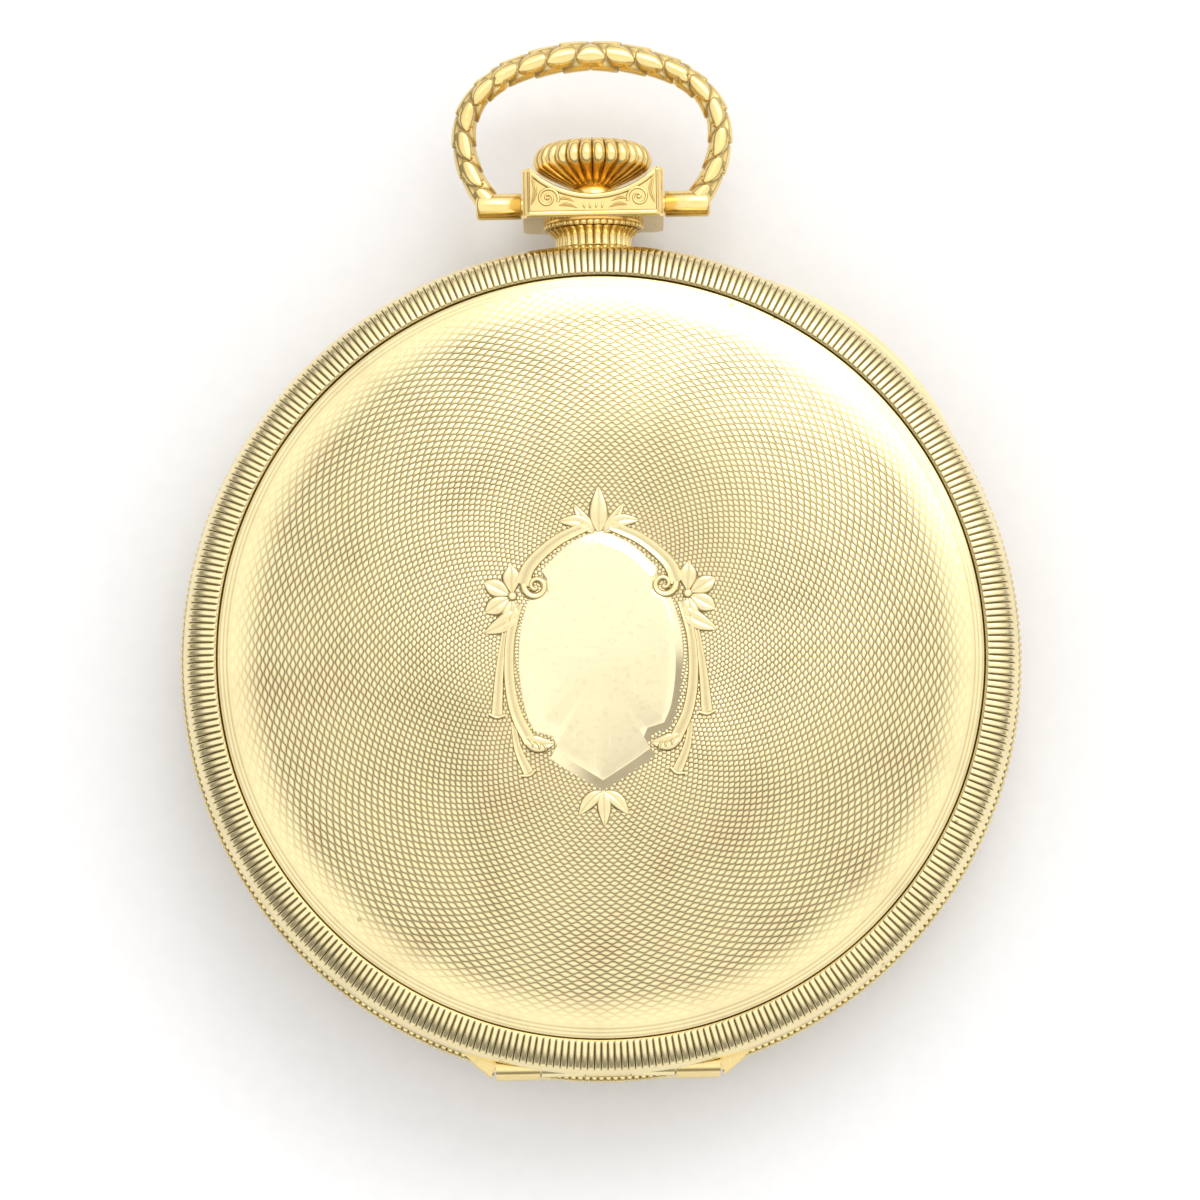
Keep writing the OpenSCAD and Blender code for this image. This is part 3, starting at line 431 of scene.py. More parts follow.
def nickel(name, colour):
    """Nickel plate with broad polished stripes across it."""
    s = Shader(name)
    split = s.add("SeparateXYZ", {0: s.place})
    slant = s.math("ADD", s.math("MULTIPLY", split.outputs[0], 0.82),
                   s.math("MULTIPLY", split.outputs[1], 0.57))
    wave = s.math("FRACT", s.math("MULTIPLY", slant, 620.0))
    arc = s.math("ABSOLUTE", s.math("SUBTRACT", wave, 0.5))
    lines = s.noise(1, 2, s.stretched((7000, 500, 500), (0, 0, -0.95)))
    fine = s.noise(5200, 2)
    dark = tuple(0.62 * c for c in colour[:3]) + (1,)
    tone = s.blend(s.span(arc, 0.0, 0.5, 0, 0.7), colour, dark)
    tone = s.blend(s.span(lines, 0.45, 0.7, 0, 0.25), tone, dark)
    height = s.math("ADD", s.math("MULTIPLY", arc, arc), s.math("MULTIPLY", fine, 0.06))
    return s.surface(Base_Color=tone, Metallic=1.0, Roughness=s.span(lines, 0.3, 0.7, 0.16, 0.36),
                     Normal=s.bump(height, 0.5, 0.12 * MM))


def dial_silver(name):
    """A matt silvered dial: fine grain and faint ageing in soft clouds."""
    s = Shader(name)
    grain = s.noise(9000, 2)
    clouds = s.noise(180, 4, distortion=0.4)
    tone = s.blend(s.span(clouds, 0.45, 0.8, 0, 0.5), linear(238, 235, 224), linear(206, 196, 168))
    tone = s.blend(s.span(grain, 0.5, 0.8, 0, 0.15), tone, linear(178, 172, 152))
    return s.surface(Base_Color=tone, Metallic=0.35, Roughness=s.span(grain, 0.3, 0.7, 0.42, 0.6),
                     Normal=s.bump(grain, 0.3, 0.006 * MM))


def enamel(name, colour):
    """Printed dial enamel with a slight orange-peel gloss."""
    s = Shader(name)
    grain = s.noise(6000, 2)
    tone = s.blend(s.span(grain, 0.4, 0.8, 0, 0.2), colour, tuple(2.2 * c for c in colour[:3]) + (1,))
    return s.surface(Base_Color=tone, Roughness=s.span(grain, 0.3, 0.7, 0.25, 0.42),
                     Normal=s.bump(grain, 0.3, 0.006 * MM))


def ruby(name):
    """Polished synthetic ruby, lighter where it is thin."""
    s = Shader(name)
    depth = s.noise(2500, 2)
    tone = s.blend(s.span(depth, 0.35, 0.7), linear(190, 28, 62), linear(228, 66, 98))
    return s.surface(Base_Color=tone, Roughness=s.span(depth, 0.3, 0.7, 0.04, 0.12), IOR=1.76,
                     Transmission_Weight=0.35, Normal=s.bump(depth, 0.1, 0.004 * MM))


def glass(name):
    """A thin watch glass with the lightest of wiping marks."""
    s = Shader(name)
    wiped = s.noise(1, 3, s.stretched((2200, 160, 160), (0, 0, 0.9)))
    return s.surface(Base_Color=(0.96, 0.985, 0.99, 1.0), Transmission_Weight=1.0, IOR=1.45,
                     Roughness=s.span(wiped, 0.55, 0.8, 0.0, 0.05),
                     Normal=s.bump(wiped, 0.05, 0.004 * MM))


def paper(name):
    """The pale floor: nearly white, with a trace of tooth."""
    s = Shader(name)
    tooth = s.noise(900, 3)
    tone = s.blend(s.span(tooth, 0.3, 0.7), (0.91, 0.91, 0.915, 1), (0.93, 0.93, 0.93, 1))
    return s.surface(Base_Color=tone, Roughness=0.75, Normal=s.bump(tooth, 0.1, 0.05 * MM))


# Each gold's second colour is the painted shade its grooves fall to, and also the tint of its stain clouds.
GOLD_SHADE = linear(112, 82, 40)
materials = {
    "lid_gold": gold("pale_gold_turned", linear(243, 226, 174), linear(72, 53, 26), 0.2, 0.12, 1.0),
    "polished_gold": gold("pale_gold_polished", linear(247, 234, 192), linear(84, 66, 38), 0.13, 0.1, 1.0),
    "case_gold": gold("band_gold", linear(240, 217, 152), linear(80, 58, 28), 0.2, 0.2, 1.0),
    "rich_gold": gold("rich_gold", linear(242, 214, 144), GOLD_SHADE, 0.2, 0.3, 0.95),
    "steel": steel("grained_steel", linear(196, 198, 204), 0.22, 5200),
    "blued_steel": steel("blued_steel", linear(40, 62, 142), 0.16, 4200),
    "nickel_plate": nickel("striped_nickel", linear(222, 220, 210)),
    "train_brass": gold("gilt_brass", linear(226, 184, 96), linear(140, 98, 38), 0.22),
    "ruby": ruby("ruby"),
    "dial_silver": dial_silver("silvered_dial"),
    "crystal": glass("watch_glass"),
    "print": enamel("dial_print", (0.012, 0.012, 0.014, 1)),
}


# ---- Lids ----

def turned_rows(first, last):
    """Radii, heights and painted shade over the angle for ring edges and crests between two ring numbers."""
    columns = LOBES * COLUMNS_A_LOBE
    angle = np.linspace(0, TAU, columns, endpoint=False)
    lobe = np.cos(LOBES * angle)
    rows, heights, shade_levels = [], [], []
    for ring in range(first, last + 1):
        sign = 1 if ring % 2 == 0 else -1
        radius = TURNING_IN + ring * RING_PITCH
        fade = 1 - 0.75 * smooth((radius - TURNING_FADE) / (TURNING_OUT - TURNING_FADE))
        rows.append(radius + WAVE * RING_PITCH * sign * lobe)
        heights.append(np.zeros(columns))
        # painted shade along the bottom of each cut
        shade_levels.append(np.full(columns, fade))
        if ring < last:
            room = (1 - 2 * WAVE * sign * lobe) / (1 + 2 * WAVE)
            rows.append(np.full(columns, radius + RING_PITCH / 2))
            heights.append(fade * CUT_DEPTH * room ** 1.1)
            # painted shade on the crest where the lobes pinch it
            shade_levels.append(fade * (1 - room) ** 2.2)
    return angle, rows, heights, shade_levels


def turned_skin(name, body, side, first, last, border):
    """A zone of engine turning over a lid, with fine lines round it if it is the outer one.

    Half a ring is added where two zones meet, a hair lower, so that the seam doesn't show."""
    under_inner, under_outer = first > 0, not border
    angle, rows, heights, shade_levels = turned_rows(first - under_inner, last + under_outer)
    if under_inner:
        rows, heights, shade_levels = rows[1:], heights[1:], shade_levels[1:]
        heights[0] = heights[0] - SKIN / 4
    if under_outer:
        rows, heights, shade_levels = rows[:-1], heights[:-1], shade_levels[:-1]
        heights[-1] = heights[-1] - SKIN / 4
    end = TURNING_IN + last * RING_PITCH
    flat = np.ones(len(angle))
    if border:
        for share, rise, dark in FINE_LINES:
            rows.append((end + share * (CREASE_R - end)) * flat)
            heights.append(rise * MM * flat)
            shade_levels.append(dark * flat)
    top = [around_z(r, side * (dome(r) + SKIN + h), angle) for r, h in zip(rows, heights)]
    inner_radii = np.linspace(rows[-1].mean(), rows[0].mean(), 9)[1:-1]
    under_rows = [rows[-1]] + [radius * flat for radius in inner_radii] + [rows[0]]
    under = [around_z(r, side * (dome(r) - 0.15 * MM), angle) for r in under_rows]
    # full painted shade on the underside
    shade_levels += [flat] * len(under)
    piece = Piece()
    piece.lattice(np.array(top + under), groove=np.array(shade_levels))
    return piece.build(name, materials["lid_gold"], body, sharp=60)


def rim_skin(name, body, side, lip_bearing):
    """The reeded rim: a bright inner edge, rounded reeds, and a smooth border below them."""
    phase = np.tile(REED_PHASE, REEDS)
    reed = np.tile(REED_RISE, REEDS)
    columns = len(phase)
    angle = (np.arange(columns) // len(REED_PHASE) + phase) * TAU / REEDS
    outline = np.array([(-1.79, 2.0), (-1.77, 2.16), (-1.7, 2.2), (-1.6, 2.19), (-1.05, 2.02),
                        (-0.6, 1.77), (-0.3, 1.5), (-0.1, 1.17), (0, 0.85), (0.03, 0.6), (0.03, 0.12),
                        (-0.03, 0.04)]) * MM
    line = curve(outline, 34)
    normal = path_normals(line)
    length = np.concatenate([[0], np.cumsum(np.linalg.norm(np.diff(line, axis=0), axis=1))])
    length /= length[-1]
    window = smooth((length - 0.06) / 0.03) * smooth((0.63 - length) / 0.08)
    rise = window[:, None] * (reed[None, :] - 0.15) * REED_DEPTH + SKIN * 1.5
    bearing = np.degrees(angle) - lip_bearing
    bearing = np.radians((bearing + 180) % 360 - 180)
    lip = LIP_OFF * np.cos(bearing) + np.sqrt(LIP_R ** 2 - (LIP_OFF * np.sin(bearing)) ** 2)
    flare = np.maximum(lip - LID_R - 0.02 * MM, 0) * 0.4
    radius = LID_R + line[:, 0][:, None] + normal[:, 0][:, None] * rise
    radius = radius + smooth((length - 0.3) / 0.5)[:, None] * flare[None, :]
    height = PART_Z + line[:, 1][:, None] + normal[:, 1][:, None] * rise
    inner = np.array([(-0.3, 0.1), (-0.35, 0.7), (-0.75, 1.38), (-1.3, 1.8), (-1.75, 1.85)]) * MM
    radius = np.vstack([radius, np.repeat(LID_R + inner[:, :1], columns, 1)])
    height = np.vstack([height, np.repeat(PART_Z + inner[:, 1:], columns, 1)])
    near_hinge = (np.abs(radius * np.cos(angle)) < HINGE_HALF) & (np.sin(angle) < 0)
    low = near_hinge & (height < PART_Z + HINGE_CLEAR)
    outer = np.arange(len(radius))[:, None] < len(line)
    height = np.where(low, PART_Z + HINGE_CLEAR, height)
    radius = np.where(low & outer, LID_R - 0.06 * MM, radius)
    # Painted shade: in the gaps between reeds, in the crease at the rim's inner wall, and over the underside
    crease = smooth((0.055 - length) / 0.02)
    dark = np.maximum(window[:, None] * (1 - reed[None, :]) ** 0.6, crease[:, None])
    dark = np.vstack([dark, np.ones((len(inner), columns))])
    piece = Piece()
    piece.lattice(around_z(radius, side * height, angle), groove=dark)
    return piece.build(name, materials["lid_gold"], body, sharp=60)


def front_surface(x, y):
    """Height of the front lid's outside at a place."""
    return MID_Z + dome(np.hypot(x, y)) + SKIN


def shield_outline():
    """The right half of the cartouche's shield from top to bottom, then its mirror."""
    right = [curve(np.array([(0, 7.4), (1.7, 6.6), (3.2, 5.2)]), 12),
             curve(np.array([(3.1, 4.3), (3.9, 3.6), (4.45, 1.6), (4.5, -0.6), (4.2, -2.6),
                             (3.75, -3.7)]), 26),
             curve(np.array([(2.75, -4.0), (2.5, -4.7), (2.9, -5.25)]), 10),
             curve(np.array([(2.9, -5.25), (1.5, -6.2), (0, -7.15)]), 10)[1:]]
    right = np.concatenate(right)
    left = right[1:-1][::-1] * (-1, 1)
    return np.concatenate([right, left]) * MM


def cartouche_shield():
    """A polished plate for initials, left plain, with painted shade on its bevel towards the lower right."""
    outline = shield_outline()
    bearing = np.arctan2(outline[:, 1], outline[:, 0])
    # painted shade on the bevel, strongest towards the lower right
    painted_shade_lower_right = smooth((np.cos(bearing + 0.85) - 0.35) / 0.4)
    rows, dark = [], []
    # Each row: share of the outline, rise in mm, painted shade at the plate's foot, and how much of the
    # lower-right painted shade it takes
    for share, rise, foot, bevel_shade in ((1.0, -0.08, 1, 0), (1.0, 0.02, 0.9, 0), (0.985, 0.03, 0.2, 1),
                                   (0.905, 0.175, 0.0, 1), (0.9, 0.182, 0.25, 0.5), (0.893, 0.187, 0, 0),
                                   (0.8, 0.2, 0, 0), (0.65, 0.215, 0, 0), (0.5, 0.226, 0, 0),
                                   (0.3, 0.235, 0, 0), (0.1, 0.24, 0, 0)):
        x, y = outline[:, 0] * share, outline[:, 1] * share + CARTOUCHE_Y
        rows.append(np.stack([x, y, front_surface(x, y) + rise * MM], -1))
        dark.append(np.maximum(foot, bevel_shade * (0.12 + 0.68 * painted_shade_lower_right)))
    piece = Piece()
    piece.lattice(np.array(rows), wrap_rows=False, groove=np.array(dark))
    return piece.build("cartouche_shield", materials["polished_gold"], "front_lid", sharp=20)


def mirrored(points, side):
    """A list of places in millimetres from the cartouche's centre as metres, on one side."""
    return np.array(points, float) * (side * MM, MM) + (0, CARTOUCHE_Y)


def cartouche_leaves():
    """Leaves at the top, sides and foot of the shield, most of them in mirrored pairs."""
    piece = Piece()
    leaf(piece, mirrored([(0, 7.2), (0, 8.3), (0, 9.7)], 1), 0.56 * MM, 0.24 * MM, front_surface)
    leaf(piece, mirrored([(0, -7.0), (0.03, -7.9), (0.05, -8.95)], 1), 0.42 * MM, 0.2 * MM, front_surface)
    pairs = [([(0.25, 7.3), (0.85, 7.95), (1.35, 8.75)], 0.34, 0.19),
             ([(0.3, 7.2), (1.1, 7.8), (2.2, 7.85)], 0.44, 0.22),
             ([(0.1, -7.05), (0.75, -7.55), (1.35, -8.3)], 0.42, 0.18),
             ([(4.45, 2.95), (5.2, 2.3), (6.35, 1.75)], 0.56, 0.24),
             ([(4.3, -4.0), (3.55, -4.4), (2.65, -4.4)], 0.52, 0.25)]
    for side in (-1, 1):
        for points, wide, rise in pairs:
            leaf(piece, mirrored(points, side), wide * MM, rise * MM, front_surface)
        for k in range(3):
            x, y = 4.1 - 0.35 * k, -4.1 - 0.1 * k
            stem = mirrored([(x, y), (x - 0.3, y - 0.3), (x - 0.25, y - 0.62)], side)
            leaf(piece, stem, 0.12 * MM, 0.26 * MM, front_surface, "round")
    return piece.build("cartouche_leaves", materials["lid_gold"], "front_lid")


def cartouche_bars():
    """Grooved bars over the shield, their scrolls, and the ribbons down its sides."""
    piece = Piece()
    for side in (-1, 1):
        bar = curve(mirrored([(0.7, 7.55), (2.35, 6.75), (3.75, 5.5), (4.25, 4.4)], side), 26)
        strip(piece, bar, np.linspace(0.3, 0.44, 26) * MM, 0.23 * MM, front_surface, "gutter")
        scroll = spiral((3.5 * MM * side, 4.3 * MM + CARTOUCHE_Y), 0.68 * MM, 0.14 * MM,
                        10 if side > 0 else 170, -1.35 * side)
        strip(piece, scroll, np.linspace(0.24, 0.12, 40) * MM, 0.25 * MM, front_surface, "round")
        rib = curve(mirrored([(4.45, 3.3), (4.95, 1.4), (5.02, -0.8), (4.7, -2.7), (3.95, -4.3)], side), 40)
        strip(piece, rib, np.linspace(0.24, 0.38, 40) * MM, 0.23 * MM, front_surface, "gutter")
        for line, wide in (([(5.25, 1.9), (5.55, -0.3), (5.75, -2.9)], 0.36),
                           ([(4.85, -3.3), (4.6, -4.7), (4.0, -6.1)], 0.34)):
            tail = curve(mirrored(line, side), 26)
            strip(piece, tail, np.linspace(0.14, wide, 26) * MM, 0.16 * MM, front_surface, "gutter")
            along, across = tail[-1] - tail[-2], path_normals(tail)[-1]
            along = along / np.linalg.norm(along)
            hem = [tail[-1] + (wide + 0.08) * MM * k * across - 0.16 * MM * k * k * along
                   for k in (-1, 0, 1)]
            strip(piece, curve(hem, 9), 0.12 * MM, 0.2 * MM, front_surface, "round")
    return piece.build("cartouche_bars", materials["lid_gold"], "front_lid")


def cartouche_flowers():
    """A small open flower on either shoulder of the shield."""
    piece = Piece()
    for side in (-1, 1):
        heart = np.array([4.8 * side * MM, 3.75 * MM + CARTOUCHE_Y])
        for turn in (88, 28, -30, -84):
            along = np.array([side * math.cos(math.radians(turn)), math.sin(math.radians(turn))])
            root, tip = heart + along * 0.15 * MM, heart + along * 1.72 * MM
            leaf(piece, [root, (root + tip) / 2, tip], 0.54 * MM, 0.23 * MM, front_surface, belly=1.2)
        boss(piece, heart, 0.3 * MM, 0.26 * MM, front_surface)
    return piece.build("cartouche_flowers", materials["lid_gold"], "front_lid")


def back_panel():
    """Two fine raised rings round the back lid's plain middle."""
    angle = np.linspace(0, TAU, 240, endpoint=False)
    section = np.linspace(0, TAU, 12, endpoint=False)
    piece = Piece()
    for radius, wide in ((TURNING_IN + 0.1 * MM, 0.16 * MM), (TURNING_IN - 0.5 * MM, 0.09 * MM)):
        across = radius + wide * np.cos(section)[:, None] + 0 * angle
        rise = LID_TOP + 0.05 * MM * np.sin(section)[:, None] + 0 * angle
        piece.lattice(around_z(across, -rise, angle))
    return piece.build("back_panel_rings", materials["polished_gold"], "back_lid")


# ---- Case band ----

def bead_row():
    """The milled row of beads on the watch's largest radius."""
    angle, bead = scallops(BEADS, 6, 0.7)
    section = np.linspace(0, TAU, 14, endpoint=False)
    wide = 0.27 * MM
    reach = (0.22 + 0.14 * bead[None, :]) * MM
    radius = BAND_R - 0.06 * MM + reach * np.cos(section)[:, None]
    height = wide * np.sin(section)[:, None] * (0.75 + 0.25 * bead[None, :])
    # painted shade between the beads
    dark = np.repeat(0.9 * (1 - bead[None, :]), len(section), 0)
    piece = Piece()
    piece.lattice(around_z(radius, height, angle), groove=dark)
    return piece.build("bead_row", materials["case_gold"], "case", sharp=60)


def band_engraving(side, start, end, name):
    """A strip of zigzag and dots, in relief, along the band between the beads and a lid."""
    repeats = round((end - start) / math.radians(2.6))
    per = 20
    angle = np.linspace(start, end, repeats * per + 1)
    turn = (angle - start) / (end - start) * repeats
    across = np.linspace(-1, 1, 15)
    zigzag = 1 - 4 * np.abs((turn % 1) - 0.5)
    gap = np.abs(across[:, None] - 0.72 * zigzag[None, :])
    ridge = np.exp(-(gap / 0.17) ** 2)
    for centre, share in ((0.0, -0.55), (0.5, 0.55)):
        away = (turn[None, :] - centre + 0.5) % 1 - 0.5
        dot = np.hypot(away * 4.2, across[:, None] - share)
        ridge = np.maximum(ridge, np.exp(-(dot / 0.26) ** 4))
    edge = np.exp(-((1 - np.abs(across)) / 0.1) ** 2)[:, None]
    ridge = np.maximum(ridge, edge + 0 * ridge)
    level = np.interp(across, [-1, 1], [0.46, 1.44]) * MM
    wall = np.interp(level, [0.4 * MM, PART_Z], [BAND_R - 0.2 * MM, BAND_R - 0.4 * MM])
    radius = wall[:, None] + SKIN + 0.07 * MM * ridge
    height = side * level[:, None] + 0 * ridge
    inner_r = np.stack([np.full(len(angle), wall[k] - 0.1 * MM) for k in (-1, 0)])
    inner_h = np.stack([height[-1], height[0]])
    # painted shade on the ground between the zigzag and dots, and on the underside
    dark = np.vstack([1 - ridge, np.ones((2, len(angle)))])
    piece = Piece()
    piece.lattice(around_z(np.vstack([radius, inner_r]), np.vstack([height, inner_h]), angle),
                  wrap_columns=False, groove=dark)
    return piece.build(name, materials["case_gold"], "case", sharp=50)


# ---- Pendant, crown and bow ----

def neck_and_collar():
    """The fluted neck and the small beaded collar under the pendant block."""
    angle, flute = scallops(28, 8, 0.6)
    foot, top = LID_R + 0.18 * MM, pendant_hi.y - 3.16 * MM
    rows = curve(np.array([(2.02 * MM, foot), (2.0 * MM, foot + 0.4 * MM), (2.14 * MM, foot + 0.68 * MM),
                           (2.45 * MM, top)]), 14)
    radius = rows[:, 0][:, None] + (flute[None, :] - 0.2) * 0.14 * MM
    y = np.repeat(rows[:, 1][:, None], len(angle), 1)
    inner = np.full((2, len(angle)), 1.7 * MM)
    inner_y = np.array([top, foot])[:, None] + 0 * inner
    # painted shade in the flutes and on the underside
    dark = np.vstack([np.repeat(1 - flute[None, :], len(rows), 0), np.ones((2, len(angle)))])
    piece = Piece()
    piece.lattice(around_y(np.vstack([radius, inner]), np.vstack([y, inner_y]), angle), groove=dark)
    angle, bead = scallops(44, 6, 0.7)
    section = np.linspace(0, TAU, 12, endpoint=False)
    radius = 2.62 * MM + np.cos(section)[:, None] * (0.12 + 0.07 * bead[None, :]) * MM
    y = top + 0.2 * MM + np.sin(section)[:, None] * 0.17 * MM + 0 * radius
    # painted shade between the collar's beads
    piece.lattice(around_y(radius, y, angle), groove=np.repeat(1 - bead[None, :], len(section), 0))
    return piece.build("neck_and_collar", materials["rich_gold"], "case", sharp=60)


def block_face(x, y):
    """Height of the pendant block's front face over the middle plane at a place."""
    corner = np.clip(np.abs(x), 0, 4.55 * MM)
    round_off = np.sqrt((4.6 * MM) ** 2 - corner ** 2)
    return np.minimum(pendant_hi.z - MID_Z, round_off) + 0 * y


def pendant_scrolls(side, name):
    """Raised border, two scrolls and small leaves on the front (1) or back (-1) of the pendant block."""
    piece = Piece()
    low, high = pendant_hi.y - 2.57 * MM, pendant_hi.y - 0.18 * MM
    wide = 3.68 * MM
    edge_half, edge_rise = 0.17 * MM, 0.13 * MM
    scoop_y, scoop_r = pendant_hi.y + 3.4 * MM, 5.02 * MM
    reach = math.asin(0.62)
    lip = np.linspace(-reach, reach, 40)
    arc = np.stack([scoop_r * np.sin(lip), scoop_y - scoop_r * np.cos(lip)], 1)
    arc = arc[(np.abs(arc[:, 0]) < wide - 0.5 * MM) & (arc[:, 1] < high)]
    upper = np.vstack([[(-wide, high)], arc, [(wide, high)]])
    lower = np.linspace((-wide, low), (wide, low), 40)
    ends = [np.linspace((x, low), (x, high), 20) for x in (-wide, wide)]
    for path in (upper, lower, *ends):
        strip(piece, path, edge_half, edge_rise, block_face)
    sprays = [([(3.42, 0.5), (3.2, 1.3), (3.42, 2.15)], 0.12),
              ([(1.9, 0.45), (1.4, 0.5), (0.85, 0.3)], 0.11),
              ([(1.95, 0.8), (1.5, 0.85), (1.0, 0.66)], 0.09)]
    for hand in (-1, 1):
        mirror = np.array([hand * MM, MM])
        centre = (hand * 2.52 * MM, low + 0.86 * MM)
        curl = spiral(centre, 0.62 * MM, 0.1 * MM, 200 if hand > 0 else -20, 1.6 * -hand, 60)
        strip(piece, curl, np.linspace(0.1, 0.06, 60) * MM, 0.1 * MM, block_face)
        boss(piece, centre, 0.12 * MM, 0.13 * MM, block_face)
        for points, width in sprays:
            leaf(piece, np.array(points) * mirror + (0, low), width * MM, 0.12 * MM, block_face)
        for x in (0.16, 0.46):
            tick = np.array([(x, 0.25), (x * 1.1, 0.42), (x * 1.2, 0.6)]) * mirror + (0, low)
            leaf(piece, tick, 0.07 * MM, 0.1 * MM, block_face, "round")
    for k, points in enumerate(piece.points):
        piece.points[k] = points * (1, 1, side) + (0, 0, MID_Z)
    if side < 0:
        piece.loops = [loop[::-1] for loop in piece.loops]
    return piece.build(name, materials["rich_gold"], "case")


def crown_grip():
    """The fluted winding crown."""
    angle, rib = scallops(26, 10, 0.5)
    top, bottom = crown_hi.y, crown_lo.y
    big = crown_hi.x
    outline = np.array([(0.08 * MM, top), (1.6 * MM, top - 0.03 * MM), (big - 0.75 * MM, top - 0.16 * MM),
                        (big - 0.25 * MM, top - 0.46 * MM), (big - 0.02 * MM, top - 0.9 * MM),
                        (big, top - 1.25 * MM), (big - 0.17 * MM, top - 1.6 * MM),
                        (big - 0.75 * MM, top - 1.98 * MM), (big - 1.35 * MM, top - 2.28 * MM),
                        (1.3 * MM, top - 2.6 * MM), (1.12 * MM, top - 2.8 * MM),
                        (1.1 * MM, bottom), (0.08 * MM, bottom)])
    line = curve(outline, 60)
    line[:, 0] = np.maximum(line[:, 0], 0.05 * MM)
    share = (line[:, 0] - 1.5 * MM) / (big - 1.5 * MM)
    fallen = top - line[:, 1]
    deep = 0.3 * MM * smooth((share - 0.15) / 0.5) * smooth((fallen - 0.02 * MM) / (0.12 * MM))
    deep = deep + 0.14 * MM * smooth((share + 0.12) / 0.2) * smooth((fallen - 1.3 * MM) / (0.5 * MM))
    radius = line[:, 0][:, None] - deep[:, None] * (1 - rib[None, :])
    y = np.repeat(line[:, 1][:, None], len(angle), 1)
    # painted shade down the flutes' grooves
    dark = smooth(deep / (0.15 * MM))[:, None] * (1 - rib[None, :]) * 0.9
    piece = Piece()
    piece.lattice(around_y(radius, y, angle), wrap_rows=False, groove=dark)
    made = piece.build("crown_grip", materials["rich_gold"], "crown", sharp=60)
    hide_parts("crown")
    return made


def bow_line(count):
    """The right half of the bow's middle line, from its top to its foot, evenly stepped."""
    top_r, side_r, foot_r = 12.03 * MM, 3.6 * MM, 5.6 * MM
    half_top = math.radians(25.3)
    shoulder_reach = 11.9 * MM - side_r
    centre = np.array([0, BOW_Y - 3.6 * MM])
    shoulder = centre + shoulder_reach * np.array([math.sin(half_top), math.cos(half_top)])
    foot = shoulder - (foot_r - side_r, 0)
    a = np.linspace(math.pi / 2, math.pi / 2 - half_top, 60)
    b = np.linspace(math.pi / 2 - half_top, 0, 60)[1:]
    c = np.linspace(0, math.radians(-40), 60)[1:]
    line = np.vstack([
        centre + top_r * np.stack([np.cos(a), np.sin(a)], 1),
        shoulder + side_r * np.stack([np.cos(b), np.sin(b)], 1),
        foot + foot_r * np.stack([np.cos(c), np.sin(c)], 1)])
    length = np.concatenate([[0], np.cumsum(np.linalg.norm(np.diff(line, axis=0), axis=1))])
    even = np.linspace(0, length[-1], count)
    return np.stack([np.interp(even, length, line[:, k]) for k in (0, 1)], 1), even


def leaf_scales(along, around, length):
    """Relief of slanting, keeled leaves in four rows round a wire, 0 in the gaps to 1 on a keel."""
    best = np.zeros(np.broadcast(along, around).shape)
    for row in range(4):
        v = (along / length + 0.5 * (row % 2)) % 1
        slant = 0.55 * (v - 0.5)
        a = (around - row * TAU / 4 - slant + math.pi) % TAU - math.pi
        half = np.sin(math.pi * np.clip(v, 0.001, 0.999) ** 0.75) ** 0.7 * math.radians(64)
        share = np.clip(np.abs(a) / np.maximum(half, 1e-3), 0, 1)
        keel = (1 - 0.4 * share) * smooth((1 - share) / 0.45)
        best = np.maximum(best, (0.5 + 0.5 * v) * keel)
    return best


def bow_wire():
    """The bow: an oval carved with overlapping leaves, thickest at its top, on round feet and pivots."""
    around = np.linspace(0, TAU, 40, endpoint=False)
    right, length = bow_line(420)
    leaf_len = length[-1] / 8
    line = np.vstack([right[:0:-1] * (-1, 1), right])
    reach = np.concatenate([length[:0:-1], length])
    outward = path_normals(line)
    carved = leaf_scales(reach[:, None], around[None, :], leaf_len)
    thick = 0.72 + 0.2 * smooth(1 - reach / (6.5 * MM))
    radius = (thick[:, None] - 0.17 * (1 - carved)) * MM
    flat = line[:, None, :] + outward[:, None, :] * (radius * np.cos(around))[:, :, None]
    points = np.dstack([flat, MID_Z + radius * np.sin(around)])
    piece = Piece()
    # painted shade in the gaps between the leaves
    piece.lattice(points, wrap_rows=False, groove=0.8 * (1 - carved) ** 2)
    angle = np.linspace(0, TAU, 48, endpoint=False)
    for side in (-1, 1):
        outline = np.array([(2.9, 0.05), (2.9, 0.46), (2.94, 0.5), (4.0, 0.5), (4.0, 0.68), (4.06, 0.73),
                            (5.6, 0.73), (6.3, 0.74), (6.44, 0.7), (6.52, 0.55), (6.54, 0.05)]) * MM
        piece.lattice(around_x(side * outline[:, :1] + 0 * angle, outline[:, 1:] + 0 * angle, angle),
                      wrap_rows=False)
    made = piece.build("bow_wire", materials["rich_gold"], "bow", sharp=50)
    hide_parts("bow")
    return made


# ---- Dial ----

UP = Vector((-1, 0, 0))
RIGHT = Vector((0, 1, 0))


def dial_ring(piece, centre, radius, wide, level):
    """A fine printed circle on the dial."""
    angle = np.linspace(0, TAU, 180, endpoint=False)
    section = np.array([(-wide, -PRINT_FOOT), (-wide, PRINT_RISE), (wide, PRINT_RISE), (wide, -PRINT_FOOT)])
    x = centre[0] + (radius + section[:, :1]) * np.cos(angle)
    y = centre[1] + (radius + section[:, :1]) * np.sin(angle)
    piece.lattice(np.dstack([x, y, level + section[:, 1:] + 0 * x]))


def dial_tick(piece, centre, bearing, inner, outer, wide, level):
    """A short printed line that points at a centre."""
    along = np.array([math.cos(bearing), math.sin(bearing)])
    across = np.array([-along[1], along[0]])
    top = level + PRINT_RISE
    rows = []
    for radius in (inner, outer):
        ends = [np.array(centre) + along * radius + across * w for w in (-wide, wide)]
        rows.append([(*ends[0], level), (*ends[1], level), (*ends[1], top), (*ends[0], top)])
    piece.lattice(np.array(rows), wrap_rows=False)


